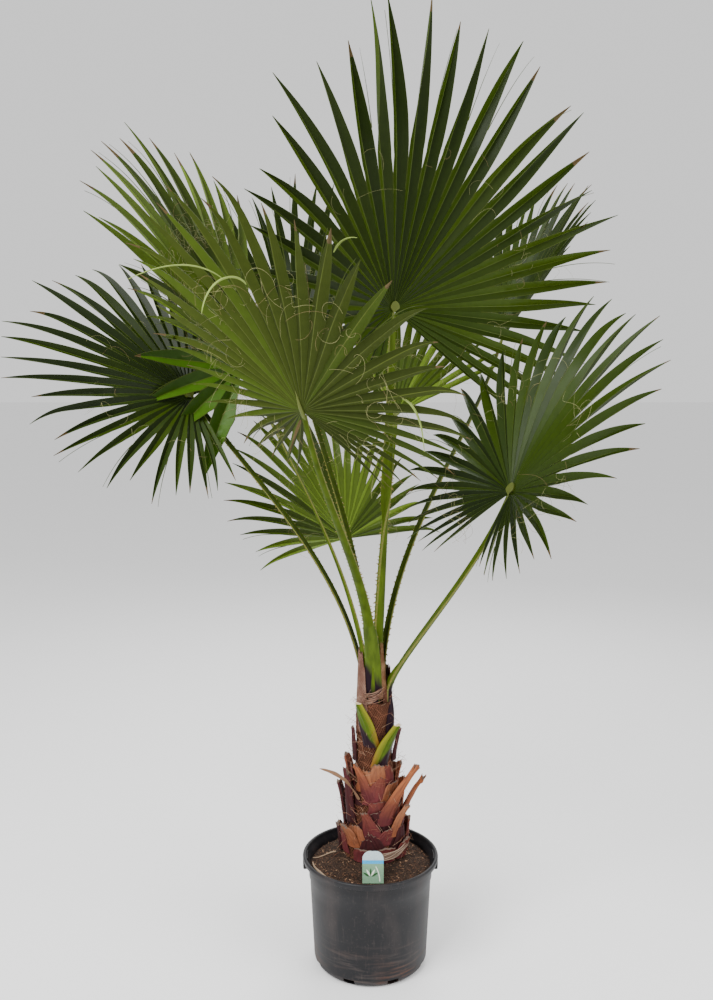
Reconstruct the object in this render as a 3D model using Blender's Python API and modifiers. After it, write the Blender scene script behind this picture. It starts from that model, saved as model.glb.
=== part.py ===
"""A young mexican fan palm in a nursery pot.

Origin at the centre of the pot's flat underside, +Z up, the front towards -Y. Every frond is a
petiole that rises from the trunk's top and a pleated fan blade, both worked out from a dozen
rounded sizes and angles.
"""

import math
import random
from typing import NamedTuple

import bmesh
import bpy
from mathutils import Vector

COLLECTION = "mexican_fan_palm"
CLEARANCE = 0.0003

# Pot
POT_HEIGHT = 0.295
RIM_DIAMETER = 0.360
BODY_TOP_DIAMETER = 0.330
FOOT_DIAMETER = 0.270
HEEL_RADIUS = 0.022
LIP_HEIGHT = 0.016
LIP_THICKNESS = 0.006
LIP_ROUND = 0.003
WALL = 0.004
STEP_HEIGHT = 0.236
STEP_DEPTH = 0.002
POT_SIDES = 40
GRIP_WIDTH = 0.050
GRIP_DEPTH = 0.012
GRIP_HEIGHT = 0.032

# Soil
SOIL_TOP = 0.282
SOIL_FALL = 0.016
SOIL_BANK = 0.014
SOIL_GAP = 0.0012

# Trunk, whose axis stands off the pot's
TRUNK_PLACE = (0.010, 0.045)
TRUNK_TOP = 0.700
TRUNK_FOOT_RADIUS = 0.084
TRUNK_NECK_RADIUS = 0.046
TRUNK_DRAW_IN = 2.4
TRUNK_SIDES = 24
TRUNK_RINGS = 9

# Fan blades, with shares of the blade's reach
BLADE_THICKNESS_SHARE = 0.01
SPLIT_SHARE = 0.46
PLEAT_SLOPE = 0.45
FREE_WIDTH = 0.60
LENGTH_RANGE = (0.93, 1.04)
HEART_RADIUS = 0.014
TONGUE_LENGTH = 0.030
TONGUE_WIDTH = 0.012
BLADE_SEED = 100

# Petioles, with the section's corners as shares of its width and depth
PETIOLE_TIP_WIDTH = 0.014
PETIOLE_DEPTH = 0.62
PETIOLE_STATIONS = 9
PETIOLE_SECTION = ((-0.5, 0.0), (-0.3, -0.32), (0.0, -0.5), (0.3, -0.32), (0.5, 0.0),
                   (0.25, 0.24), (-0.25, 0.24))
LAUNCH_RISE = 80
ARRIVAL_SHARE = 0.35

# Label
LABEL_WIDTH = 0.054
LABEL_HEIGHT = 0.080
LABEL_THICKNESS = 0.002
LABEL_CORNER = 0.020
LABEL_PLACE = (0.005, -0.125, 0.2725)
LABEL_LEAN = 12


class Frond(NamedTuple):
    """One leaf: where its blade's heart is, how the blade lies and how its leaflets spread.

    Lengths are metres and angles degrees. A heading goes round from +X towards +Y, a rise is
    above the level, and a roll turns the blade about its own axis. left and right are how far
    round the leaflets go on each side of the blade's middle.
    """

    heart: tuple
    heading: float
    rise: float
    roll: float
    reach: float
    left: float
    right: float
    leaflets: int
    cup: float
    shrink: float
    droop: float
    arch: float
    foot_heading: float
    arrival: float
    foot_radius: float = 0.030
    base_width: float = 0.022
    launch: float = 0.35
    sheath: float = 0.10


FRONDS = {
    "a": Frond((0.06, 0.18, 1.73), 115, 88, -10, 0.80, 150, 138, 33, cup=23, shrink=0.64, droop=0.02,
               arch=0.05, foot_heading=320, arrival=86, foot_radius=0.010, base_width=0.020),
    "b": Frond((-0.15, -0.44, 1.48), 238, 53, 10, 0.55, 152, 150, 34, cup=8, shrink=0.78, droop=0.04,
               arch=0.09, foot_heading=264, arrival=62, foot_radius=0.032, base_width=0.030),
    "c": Frond((-0.48, 0.15, 1.50), 174, 37, 40, 0.52, 150, 115, 30, cup=12, shrink=0.55, droop=0.07,
               arch=0.06, foot_heading=164, arrival=52, sheath=0.06),
    "d": Frond((-0.345, 0.21, 1.58), 175, 59, 16, 0.77, 82, 39, 15, cup=16, shrink=0.90, droop=0.06,
               arch=0.14, foot_heading=216, arrival=60),
    "e": Frond((-0.216, 0.56, 1.63), 105, 80, 0, 0.55, 38, 52, 11, cup=5, shrink=0.45, droop=0.03,
               arch=0.04, foot_heading=150, arrival=60, foot_radius=0.013, base_width=0.018),
    "f": Frond((0.328, -0.18, 1.28), 20, 59, -2, 0.59, 152, 158, 33, cup=12, shrink=0.80, droop=0.08,
               arch=0.11, foot_heading=350, arrival=67, foot_radius=0.037, base_width=0.024,
               launch=0.13, sheath=0.03),
    "g": Frond((0.42, 0.63, 1.67), 41, 44, 11, 0.57, 45, 82, 15, cup=28, shrink=0.46, droop=0.04,
               arch=0.06, foot_heading=40, arrival=58),
    "h": Frond((0.08, 0.46, 1.44), 85, 60, 0, 0.42, 40, 70, 13, cup=18, shrink=0.50, droop=0.05,
               arch=0.06, foot_heading=70, arrival=55, foot_radius=0.013, base_width=0.018),
    "i": Frond((-0.07, 0.36, 1.08), 137, 60, 5, 0.50, 95, 95, 22, cup=8, shrink=0.80, droop=0.08,
               arch=0.06, foot_heading=102, arrival=20),
}


class LeafBase(NamedTuple):
    """What an old leaf leaves on the trunk: a plate that leans from its foot's heading to its tip's."""

    foot_heading: float
    tip_heading: float
    foot_height: float
    length: float
    flare: float
    foot_width: float
    tip_width: float
    thickness: float


# The leaf bases that show from the front, each in its own place
FRONT_BOOTS = (
    LeafBase(294, 336, 0.382, 0.180, 0.052, 0.056, 0.028, 0.012),
    LeafBase(349, 353, 0.364, 0.150, 0.060, 0.054, 0.026, 0.011),
    LeafBase(316, 322, 0.346, 0.105, 0.036, 0.040, 0.022, 0.009),
    LeafBase(256, 226, 0.450, 0.105, 0.012, 0.036, 0.018, 0.008),
    LeafBase(280, 277, 0.484, 0.072, 0.018, 0.038, 0.034, 0.008),
    LeafBase(268, 252, 0.348, 0.085, 0.016, 0.050, 0.018, 0.009),
    LeafBase(202, 200, 0.378, 0.165, 0.012, 0.056, 0.030, 0.010),
    LeafBase(226, 220, 0.320, 0.073, 0.028, 0.044, 0.036, 0.010),
    LeafBase(250, 250, 0.286, 0.040, 0.005, 0.056, 0.050, 0.007),
    LeafBase(290, 290, 0.286, 0.046, 0.010, 0.056, 0.050, 0.008),
    LeafBase(331, 331, 0.286, 0.056, 0.012, 0.058, 0.044, 0.008),
)


class Row(NamedTuple):
    """Leaf bases round the trunk's back, evenly spaced from the first heading to the last."""

    count: int
    first_heading: float
    last_heading: float
    foot_height: float
    length: float
    flare: float
    foot_width: float
    tip_width: float


BACK_ROWS = (
    Row(4, 20, 168, 0.286, 0.090, 0.010, 0.058, 0.034),
    Row(4, 30, 166, 0.343, 0.140, 0.022, 0.050, 0.026),
    Row(3, 40, 150, 0.423, 0.120, 0.022, 0.050, 0.022),
)
BOOT_SEED = 7
BOOT_THICKNESS = 0.011
BOOT_CLEARANCE = 0.0012
BOOT_STATIONS = 4
BOOT_ACROSS = (-1.0, -0.4, 0.4, 1.0)

STUBS = {
    "green_stub_left": LeafBase(262, 226, 0.590, 0.130, 0.010, 0.040, 0.020, 0.011),
    "green_stub_right": LeafBase(282, 318, 0.535, 0.130, 0.026, 0.040, 0.022, 0.013),
    "brown_stub_left": LeafBase(190, 188, 0.540, 0.100, 0.004, 0.036, 0.022, 0.007),
    "brown_stub_right": LeafBase(352, 356, 0.540, 0.095, 0.014, 0.036, 0.020, 0.008),
}

# A dry strip of old sheath that curls away on the left
STRIP_HEADING = 227
STRIP_FOOT_HEIGHT = 0.440
STRIP_RISE = 0.106
STRIP_TIP = (-0.133, -0.050)
STRIP_WIDTH = 0.010
STRIP_THICKNESS = 0.003
STRIP_STATIONS = 7


def clear_scene():
    """Takes away whatever the scene holds."""
    for thing in list(bpy.data.objects):
        bpy.data.objects.remove(thing, do_unlink=True)


def collection_named(name):
    """A new collection in the scene."""
    group = bpy.data.collections.new(name)
    bpy.context.scene.collection.children.link(group)
    return group


def material(name, colour, roughness, metallic=0.0):
    """A plain surface of one colour."""
    surface = bpy.data.materials.new(name)
    surface.use_nodes = True
    shader = surface.node_tree.nodes["Principled BSDF"]
    shader.inputs["Base Color"].default_value = (*colour, 1.0)
    shader.inputs["Roughness"].default_value = roughness
    shader.inputs["Metallic"].default_value = metallic
    surface.diffuse_color = (*colour, 1.0)
    return surface


def place(name, mesh, group, surface, smooth=None):
    """An object for the mesh, shaded smooth below the given angle."""
    thing = bpy.data.objects.new(name, mesh)
    group.objects.link(thing)
    mesh.materials.append(surface)
    if smooth is not None:
        mesh.shade_smooth()
        mesh.set_sharp_from_angle(angle=math.radians(smooth))
    return thing


def mesh_from(name, build):
    """A mesh filled by a function that is given an empty bmesh."""
    shape = bmesh.new()
    build(shape)
    mesh = bpy.data.meshes.new(name)
    shape.to_mesh(mesh)
    shape.free()
    return mesh


def turned(name, profile, sides, group, surface, smooth=40):
    """A body of revolution about Z from (radius, height) points that start and end on the axis."""

    def line(shape):
        """The section as a chain of edges."""
        corners = [shape.verts.new((radius, 0.0, height)) for radius, height in profile]
        for first, second in zip(corners, corners[1:]):
            shape.edges.new((first, second))

    thing = place(name, mesh_from(name, line), group, surface)
    screw = thing.modifiers.new("Turn", "SCREW")
    screw.steps = sides
    screw.render_steps = sides
    screw.use_merge_vertices = True
    screw.merge_threshold = 0.0001
    screw.use_smooth_shade = False
    applied = mesh_of(thing)
    bpy.data.objects.remove(thing)
    return place(name, applied, group, surface, smooth)


def mesh_of(thing):
    """The object's mesh with its modifiers applied, in world space."""
    bpy.context.view_layer.update()
    evaluated = thing.evaluated_get(bpy.context.evaluated_depsgraph_get())
    mesh = bpy.data.meshes.new_from_object(evaluated)
    mesh.transform(thing.matrix_world)
    mesh.materials.clear()
    return mesh


def arc(centre_radius, centre_height, radius, start, end, steps):
    """Points along a round edge of a turned profile, with angles in degrees."""
    points = []
    for step in range(steps + 1):
        angle = math.radians(start + (end - start) * step / steps)
        points.append((centre_radius + radius * math.cos(angle), centre_height + radius * math.sin(angle)))
    return points


def wall_radius(height):
    """The outside of the pot's wall at a height above its heel."""
    share = (height - HEEL_RADIUS) / (POT_HEIGHT - LIP_HEIGHT - HEEL_RADIUS)
    heel = FOOT_DIAMETER / 2 + HEEL_RADIUS * 0.7
    step = STEP_DEPTH if height > STEP_HEIGHT else 0.0
    return heel + (BODY_TOP_DIAMETER / 2 - STEP_DEPTH - heel) * share + step


def pot_profile():
    """The wall's section: up the inside, over the lip, down the outside to the underside."""
    rim = RIM_DIAMETER / 2
    lip_foot = POT_HEIGHT - LIP_HEIGHT
    heel = FOOT_DIAMETER / 2
    inside = [
        (0.0, WALL),
        (heel - WALL, WALL),
        (wall_radius(HEEL_RADIUS) - WALL, HEEL_RADIUS + WALL),
        (wall_radius(lip_foot) - WALL, lip_foot),
        (rim - LIP_THICKNESS * 1.6, POT_HEIGHT - LIP_ROUND),
        (rim - LIP_THICKNESS, POT_HEIGHT),
    ]
    outside = [
        (rim - LIP_ROUND, POT_HEIGHT),
        (rim, POT_HEIGHT - LIP_ROUND),
        (rim - LIP_ROUND, lip_foot + 0.002),
        (wall_radius(lip_foot), lip_foot),
        (wall_radius(STEP_HEIGHT + 0.001), STEP_HEIGHT + 0.001),
        (wall_radius(STEP_HEIGHT - 0.001), STEP_HEIGHT - 0.001),
    ]
    heel_round = arc(wall_radius(HEEL_RADIUS) - HEEL_RADIUS, HEEL_RADIUS, HEEL_RADIUS, 0, -75, 3)
    return inside + outside + heel_round + [(heel - 0.004, 0.0), (0.0, 0.0)]


def grip(name, side, cutters, surface):
    """A block for one of the two moulded grips that hang from the lip, at the left or the right."""
    bpy.ops.mesh.primitive_cube_add(size=1.0)
    block = bpy.context.object
    block.name = name
    mesh = block.data
    middle = RIM_DIAMETER / 2 - GRIP_DEPTH / 2
    for corner in mesh.vertices:
        corner.co.x = side * middle + corner.co.x * GRIP_DEPTH
        corner.co.y = corner.co.y * GRIP_WIDTH
        corner.co.z = POT_HEIGHT - 0.004 - GRIP_HEIGHT / 2 + corner.co.z * GRIP_HEIGHT
    mesh.materials.append(surface)
    for group in list(block.users_collection):
        group.objects.unlink(block)
    cutters.objects.link(block)
    block.hide_render = True
    block.display_type = "WIRE"
    return block


def make_pot(group, cutters):
    """The pot: a turned wall with a lip, and two moulded grips joined to it."""
    surface = material("pot_plastic", (0.045, 0.048, 0.052), 0.55)
    pot = turned("pot", pot_profile(), POT_SIDES, group, surface)
    for name, side in (("grip_left", -1), ("grip_right", 1)):
        block = grip(name, side, cutters, surface)
        join = pot.modifiers.new(name, "BOOLEAN")
        join.operation = "UNION"
        join.solver = "EXACT"
        join.object = block
    return pot


def ring_round(centre, radius, height, sides):
    """Corners of a level ring."""
    return [(centre[0] + radius * math.cos(2 * math.pi * side / sides),
             centre[1] + radius * math.sin(2 * math.pi * side / sides), height) for side in range(sides)]


def make_soil(group):
    """The soil that fills the pot, banked up from the wall to the trunk's foot."""
    surface = material("soil", (0.060, 0.038, 0.026), 0.95)
    lip_foot = POT_HEIGHT - LIP_HEIGHT
    gap = WALL + SOIL_GAP
    floor = WALL + CLEARANCE
    axis = (0.0, 0.0)
    rings = [
        ring_round(axis, FOOT_DIAMETER / 2 - gap - 0.001, floor, POT_SIDES),
        ring_round(axis, wall_radius(HEEL_RADIUS) - gap, HEEL_RADIUS + floor, POT_SIDES),
        ring_round(axis, wall_radius(lip_foot) - gap, SOIL_TOP - SOIL_FALL, POT_SIDES),
        ring_round(TRUNK_PLACE, TRUNK_FOOT_RADIUS + SOIL_BANK, SOIL_TOP, POT_SIDES),
    ]
    return place("soil", mesh_from("soil", lambda shape: loft(shape, rings)), group, surface, 40)


def trunk_radius(height):
    """The trunk under its leaf bases: a swollen foot that draws in to a slim neck."""
    share = min(1.0, (height - SOIL_TOP) / (TRUNK_TOP - SOIL_TOP))
    swell = (TRUNK_FOOT_RADIUS - TRUNK_NECK_RADIUS) * (1 - share) ** TRUNK_DRAW_IN
    return TRUNK_NECK_RADIUS + swell


def make_trunk(group):
    """The trunk from a flat cut on the soil to a flat top that the petioles stand on."""
    surface = material("trunk_fibre", (0.190, 0.095, 0.052), 0.9)
    foot = SOIL_TOP + CLEARANCE
    profile = [(0.0, TRUNK_TOP)]
    for ring in range(TRUNK_RINGS + 1):
        height = TRUNK_TOP + (foot - TRUNK_TOP) * ring / TRUNK_RINGS
        profile.append((trunk_radius(height), height))
    profile.append((0.0, foot))
    trunk = turned("trunk", profile, TRUNK_SIDES, group, surface)
    trunk.location = (*TRUNK_PLACE, 0.0)
    return trunk


def loft(shape, rings):
    """A skin over rings of corners, with both ends closed."""
    rows = [[shape.verts.new(corner) for corner in ring] for ring in rings]
    for lower, upper in zip(rows, rows[1:]):
        for index, corner in enumerate(lower):
            after = (index + 1) % len(lower)
            shape.faces.new((corner, lower[after], upper[after], upper[index]))
    shape.faces.new(list(reversed(rows[0])))
    shape.faces.new(rows[-1])
    bmesh.ops.recalc_face_normals(shape, faces=shape.faces)


def beside_trunk(radius, angle, height):
    """A point at a distance from the trunk's axis, with the angle in radians."""
    return (TRUNK_PLACE[0] + radius * math.cos(angle), TRUNK_PLACE[1] + radius * math.sin(angle), height)


def leaf_base(foot_heading, tip_heading, foot_height, length, flare, foot_width, tip_width, thickness):
    """Rings of a leaf base: a curved plate that hugs the trunk and bends outwards to a cut tip."""
    rings = []
    for station in range(BOOT_STATIONS):
        share = station / (BOOT_STATIONS - 1)
        height = foot_height + length * share * (1 - 0.12 * share)
        inner = trunk_radius(foot_height) + BOOT_CLEARANCE + flare * share ** 1.4
        heading = math.radians(foot_heading + (tip_heading - foot_heading) * share)
        half = (foot_width + (tip_width - foot_width) * share) / 2
        depth = thickness * (1 - 0.25 * share)
        inside = []
        outside = []
        for across in BOOT_ACROSS:
            angle = heading + half * across / inner
            thick = depth * (1 - 0.55 * across ** 2)
            inside.append(beside_trunk(inner, angle, height))
            outside.append(beside_trunk(inner + thick, angle, height - 0.2 * thick))
        rings.append(inside + outside[::-1])
    return rings


def back_boots():
    """The leaf bases behind, in rows that overlap like tiles and vary a little."""
    chance = random.Random(BOOT_SEED)
    bases = []
    for row in BACK_ROWS:
        for step in range(row.count):
            spread = (row.last_heading - row.first_heading) * step / (row.count - 1)
            heading = row.first_heading + spread + chance.uniform(-3, 3)
            tip_heading = heading + chance.uniform(-6, 6)
            length = row.length * chance.uniform(0.82, 1.12)
            flare = row.flare * chance.uniform(0.9, 1.15)
            bases.append(LeafBase(heading, tip_heading, row.foot_height, length, flare,
                                  row.foot_width, row.tip_width, BOOT_THICKNESS))
    return bases


def make_boots(group):
    """The old split leaf bases all round the trunk."""
    for number, base in enumerate([*FRONT_BOOTS, *back_boots()], start=1):
        name = f"boot_{number:02d}"
        rings = leaf_base(*base)
        surface = material(name, (0.235, 0.092, 0.055), 0.8)
        place(name, mesh_from(name, lambda shape, rings=rings: loft(shape, rings)), group, surface, 35)


def make_stubs(group):
    """The cut leaf stalks higher up: two still green, two brown."""
    for name, stub in STUBS.items():
        rings = leaf_base(*stub)
        colour = (0.150, 0.190, 0.045) if name.startswith("green") else (0.200, 0.105, 0.060)
        surface = material(name, colour, 0.6)
        place(name, mesh_from(name, lambda shape, rings=rings: loft(shape, rings)), group, surface, 35)


def bezier(start, first, second, end, share):
    """A point of a cubic curve between two ends."""
    rest = 1 - share
    return (start * rest ** 3 + first * (3 * rest * rest * share)
            + second * (3 * rest * share * share) + end * share ** 3)


def make_dry_strip(group):
    """The dry strip: it leaves the trunk, climbs and curls out to a pointed tip."""
    outward = direction(STRIP_HEADING, 0)
    radius = trunk_radius(STRIP_FOOT_HEIGHT) + STRIP_THICKNESS + BOOT_CLEARANCE
    start = Vector(beside_trunk(radius, math.radians(STRIP_HEADING), STRIP_FOOT_HEIGHT))
    end = Vector((*STRIP_TIP, STRIP_FOOT_HEIGHT + STRIP_RISE))
    first = start + outward * 0.030 + Vector((0.0, 0.0, 0.060))
    second = end + Vector((0.045, 0.005, -0.012))
    flat = outward.cross(Vector((0.0, 0.0, 1.0)))
    rings = []
    for station in range(STRIP_STATIONS):
        share = station / (STRIP_STATIONS - 1)
        centre = bezier(start, first, second, end, share)
        ahead = bezier(start, first, second, end, min(1.0, share + 0.02))
        ahead = (ahead - bezier(start, first, second, end, max(0.0, share - 0.02))).normalized()
        across = (flat - ahead * flat.dot(ahead)).normalized()
        out = across.cross(ahead)
        half = STRIP_WIDTH * (1 - 0.6 * share) / 2
        thick = STRIP_THICKNESS / 2
        rings.append([centre + across * half, centre + out * thick,
                      centre - across * half, centre - out * thick])
    surface = material("dry_strip", (0.300, 0.240, 0.180), 0.9)
    return place("dry_strip", mesh_from("dry_strip", lambda shape: loft(shape, rings)), group, surface, 35)


def direction(heading, rise):
    """A unit vector from a heading and a rise in degrees."""
    turn = math.radians(heading)
    lift = math.radians(rise)
    return Vector((math.cos(lift) * math.cos(turn), math.cos(lift) * math.sin(turn), math.sin(lift)))


def blade_axes(frond):
    """The blade's own axes: along its middle, to its right, and out of its upper side."""
    along = direction(frond.heading, frond.rise)
    level = along.cross(Vector((0.0, 0.0, 1.0))).normalized()
    upper = level.cross(along)
    roll = math.radians(frond.roll)
    side = level * math.cos(roll) + upper * math.sin(roll)
    face = upper * math.cos(roll) - level * math.sin(roll)
    return along, side, face


def leaflet_point(frond, axes, angle, share, across=0.0, lift=0.0):
    """A point of the leaflet at an angle from the blade's middle, a share of the way to its tip.

    across moves it sideways in the blade and lift out of its upper side, in metres.
    """
    along, side, face = axes
    turn = abs(angle) / math.pi
    length = frond.reach * (1 - frond.shrink * turn ** 1.5)
    cup = math.radians(frond.cup)
    outward = along * math.cos(angle) + side * math.sin(angle)
    sideways = side * math.cos(angle) - along * math.sin(angle)
    ray = outward * math.cos(cup) + face * math.sin(cup)
    normal = face * math.cos(cup) - outward * math.sin(cup)
    sink = length * frond.droop * share ** 2.2
    bend = length * frond.arch * share ** 2 * max(0.0, math.cos(angle))
    point = Vector(frond.heart) + ray * (length * share)
    point -= Vector((0.0, 0.0, sink))
    point -= face * bend
    return point + sideways * across + normal * lift


def leaflet_angles(frond):
    """Each leaflet's edges and middle, as angles from the blade's middle, left to right."""
    start = -math.radians(frond.left)
    width = math.radians(frond.left + frond.right) / frond.leaflets
    return [(start + width * step, start + width * (step + 0.5), start + width * (step + 1))
            for step in range(frond.leaflets)]


def length_shares(frond, seed):
    """How long each leaflet is beside the blade's own rule."""
    chance = random.Random(seed)
    return [chance.uniform(*LENGTH_RANGE) for _ in range(frond.leaflets)]


def blade_surface(shape, frond, seed):
    """The blade's pleated sheet: one piece near the heart, parted into leaflets further out."""
    axes = blade_axes(frond)
    along, side, _ = axes
    angles = leaflet_angles(frond)
    shares = length_shares(frond, seed)
    heart = shape.verts.new(frond.heart)
    hub = HEART_RADIUS / frond.reach
    step = angles[0][2] - angles[0][0]
    width = frond.reach * SPLIT_SHARE * step
    pleat = width / 2 * PLEAT_SLOPE
    half = width / 2 * FREE_WIDTH
    edges = [angles[0][0]] + [angle[2] for angle in angles]
    inner = [shape.verts.new(leaflet_point(frond, axes, edge, hub)) for edge in edges]
    splits = [shape.verts.new(leaflet_point(frond, axes, edge, SPLIT_SHARE, 0.0, pleat / 2))
              for edge in edges]
    for index, (_, middle, _) in enumerate(angles):
        tip_share = shares[index]
        middle_share = SPLIT_SHARE + (tip_share - SPLIT_SHARE) * 0.5
        rib = shape.verts.new(leaflet_point(frond, axes, middle, SPLIT_SHARE, 0.0, -pleat / 2))
        rib_out = shape.verts.new(leaflet_point(frond, axes, middle, middle_share, 0.0, -pleat / 3))
        left_out = shape.verts.new(leaflet_point(frond, axes, middle, middle_share, -half, pleat / 3))
        right_out = shape.verts.new(leaflet_point(frond, axes, middle, middle_share, half, pleat / 3))
        tip = shape.verts.new(leaflet_point(frond, axes, middle, tip_share))
        shape.faces.new((heart, inner[index + 1], inner[index]))
        shape.faces.new((inner[index], rib, splits[index]))
        shape.faces.new((inner[index], inner[index + 1], rib))
        shape.faces.new((inner[index + 1], splits[index + 1], rib))
        shape.faces.new((splits[index], rib, rib_out, left_out))
        shape.faces.new((rib, splits[index + 1], right_out, rib_out))
        shape.faces.new((left_out, rib_out, tip))
        shape.faces.new((rib_out, right_out, tip))
    back = Vector(frond.heart) - along * TONGUE_LENGTH
    tongue_left = shape.verts.new(back - side * TONGUE_WIDTH / 2)
    tongue_right = shape.verts.new(back + side * TONGUE_WIDTH / 2)
    shape.faces.new((heart, inner[0], tongue_left))
    shape.faces.new((heart, tongue_left, tongue_right))
    shape.faces.new((heart, tongue_right, inner[-1]))
    bmesh.ops.recalc_face_normals(shape, faces=shape.faces)


def make_blade(key, frond, group):
    """A fan blade: the pleated sheet given its thickness."""
    name = f"blade_{key}"
    surface = material(name, (0.075, 0.150, 0.030), 0.45)
    seed = BLADE_SEED + ord(key)
    mesh = mesh_from(name, lambda shape: blade_surface(shape, frond, seed))
    blade = place(name, mesh, group, surface)
    shell = blade.modifiers.new("Thickness", "SOLIDIFY")
    shell.thickness = frond.reach * BLADE_THICKNESS_SHARE
    shell.offset = 0.0
    shell.use_even_offset = False
    return blade


def petiole_line(frond, share):
    """A point on the petiole's middle line: upright in the sheath, then a curve to the blade's tongue."""
    height = TRUNK_TOP + CLEARANCE
    foot = Vector(beside_trunk(frond.foot_radius, math.radians(frond.foot_heading), height))
    throat = foot + Vector((0.0, 0.0, frond.sheath))
    along = blade_axes(frond)[0]
    tip = Vector(frond.heart) - along * (TONGUE_LENGTH + CLEARANCE)
    span = (tip - throat).length
    rise = frond.sheath / (frond.sheath + span)
    if share <= rise:
        return foot.lerp(throat, share / rise)
    gone = (share - rise) / (1 - rise)
    way = math.degrees(math.atan2(tip.y - foot.y, tip.x - foot.x))
    first = throat + direction(way, LAUNCH_RISE) * span * frond.launch
    second = tip - direction(way, frond.arrival) * span * ARRIVAL_SHARE
    return bezier(throat, first, second, tip, gone)


def petiole_rings(frond):
    """Rings along the petiole: flat above, keeled below, broad at the foot and slim at the blade."""
    along, side, _ = blade_axes(frond)
    foot_side = direction(frond.foot_heading - 90, 0)
    rings = []
    for station in range(PETIOLE_STATIONS):
        share = (station / (PETIOLE_STATIONS - 1)) ** 1.15
        centre = petiole_line(frond, share)
        ahead = petiole_line(frond, min(1.0, share + 0.01)) - petiole_line(frond, max(0.0, share - 0.01))
        ahead.normalize()
        if station == 0:
            ahead = Vector((0.0, 0.0, 1.0))
        if station == PETIOLE_STATIONS - 1:
            ahead = along
        across = foot_side * (1 - share) + side * share
        across = (across - ahead * across.dot(ahead)).normalized()
        upper = across.cross(ahead)
        width = frond.base_width + (PETIOLE_TIP_WIDTH - frond.base_width) * share ** 0.7
        depth = width * PETIOLE_DEPTH
        rings.append([centre + across * (width * x) + upper * (depth * y) for x, y in PETIOLE_SECTION])
    return rings


def make_petiole(key, frond, group):
    """The stalk of one leaf."""
    name = f"petiole_{key}"
    surface = material(name, (0.130, 0.190, 0.035), 0.5)
    rings = petiole_rings(frond)
    return place(name, mesh_from(name, lambda shape: loft(shape, rings)), group, surface, 50)


def make_label(group):
    """The grower's card: a thin plate with a round top, standing in the pot's front edge."""
    surface = material("label", (0.620, 0.720, 0.640), 0.4)
    outline = bpy.data.curves.new("label", "CURVE")
    outline.dimensions = "2D"
    outline.fill_mode = "BOTH"
    outline.extrude = LABEL_THICKNESS / 2
    half = LABEL_WIDTH / 2
    corners = [(-half, 0.0), (half, 0.0)]
    corners += arc(half - LABEL_CORNER, LABEL_HEIGHT - LABEL_CORNER, LABEL_CORNER, 0, 90, 4)
    corners += arc(-half + LABEL_CORNER, LABEL_HEIGHT - LABEL_CORNER, LABEL_CORNER, 90, 180, 4)
    spline = outline.splines.new("POLY")
    spline.points.add(len(corners) - 1)
    for point, (x, y) in zip(spline.points, corners):
        point.co = (x, y, 0.0, 1.0)
    spline.use_cyclic_u = True
    card = bpy.data.objects.new("label", outline)
    group.objects.link(card)
    outline.materials.append(surface)
    sink = LABEL_THICKNESS / 2 * math.sin(math.radians(LABEL_LEAN))
    card.location = (*LABEL_PLACE[:2], LABEL_PLACE[2] + sink)
    card.rotation_euler = (math.radians(90 - LABEL_LEAN), 0.0, 0.0)
    return card


def main():
    """Builds the pot, the trunk with its leaf bases and every frond."""
    clear_scene()
    group = collection_named(COLLECTION)
    cutters = collection_named("joined_pieces")
    make_pot(group, cutters)
    make_soil(group)
    make_trunk(group)
    make_boots(group)
    make_stubs(group)
    make_dry_strip(group)
    make_label(group)
    for key, frond in FRONDS.items():
        make_petiole(key, frond, group)
        make_blade(key, frond, group)


main()
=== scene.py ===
"""The looks of a young mexican fan palm in a nursery pot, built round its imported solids.

Lengths are metres, +Z is up and the front is towards -Y. Angles in the tables are degrees: a
heading goes round from +X towards +Y, and a rise is above the level.
"""

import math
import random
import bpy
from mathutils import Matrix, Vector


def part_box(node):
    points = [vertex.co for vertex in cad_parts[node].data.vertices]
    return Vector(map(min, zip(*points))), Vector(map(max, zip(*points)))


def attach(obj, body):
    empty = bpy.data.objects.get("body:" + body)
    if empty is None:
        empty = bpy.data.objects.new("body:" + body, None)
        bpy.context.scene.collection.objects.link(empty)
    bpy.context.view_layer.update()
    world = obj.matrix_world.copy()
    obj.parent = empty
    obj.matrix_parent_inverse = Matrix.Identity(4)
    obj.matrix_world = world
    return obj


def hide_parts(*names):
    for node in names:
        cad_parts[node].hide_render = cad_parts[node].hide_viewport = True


bl_info = {
    "name": "Mexican Fan Palm",
    "version": (1, 0, 0),
    "blender": (4, 5, 0),
    "location": "View3D > Sidebar > Fan palm",
    "description": "Builds a young mexican fan palm in a nursery pot, piece by piece",
    "category": "Add Mesh",
}

from typing import NamedTuple

import bpy
import numpy as np
from bpy.props import FloatProperty, FloatVectorProperty, IntProperty, PointerProperty
from mathutils import Matrix, Vector, noise

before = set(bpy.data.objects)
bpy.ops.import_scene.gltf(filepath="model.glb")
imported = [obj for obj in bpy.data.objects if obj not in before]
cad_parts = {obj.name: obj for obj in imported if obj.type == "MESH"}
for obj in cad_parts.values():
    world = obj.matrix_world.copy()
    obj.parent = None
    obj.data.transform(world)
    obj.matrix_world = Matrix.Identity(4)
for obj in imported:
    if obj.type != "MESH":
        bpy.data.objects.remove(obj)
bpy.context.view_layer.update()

UP = np.array((0.0, 0.0, 1.0))
NEARLY_UP = np.array((0.05, 0.02, 1.0))
CLEARANCE = 0.0003

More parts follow.
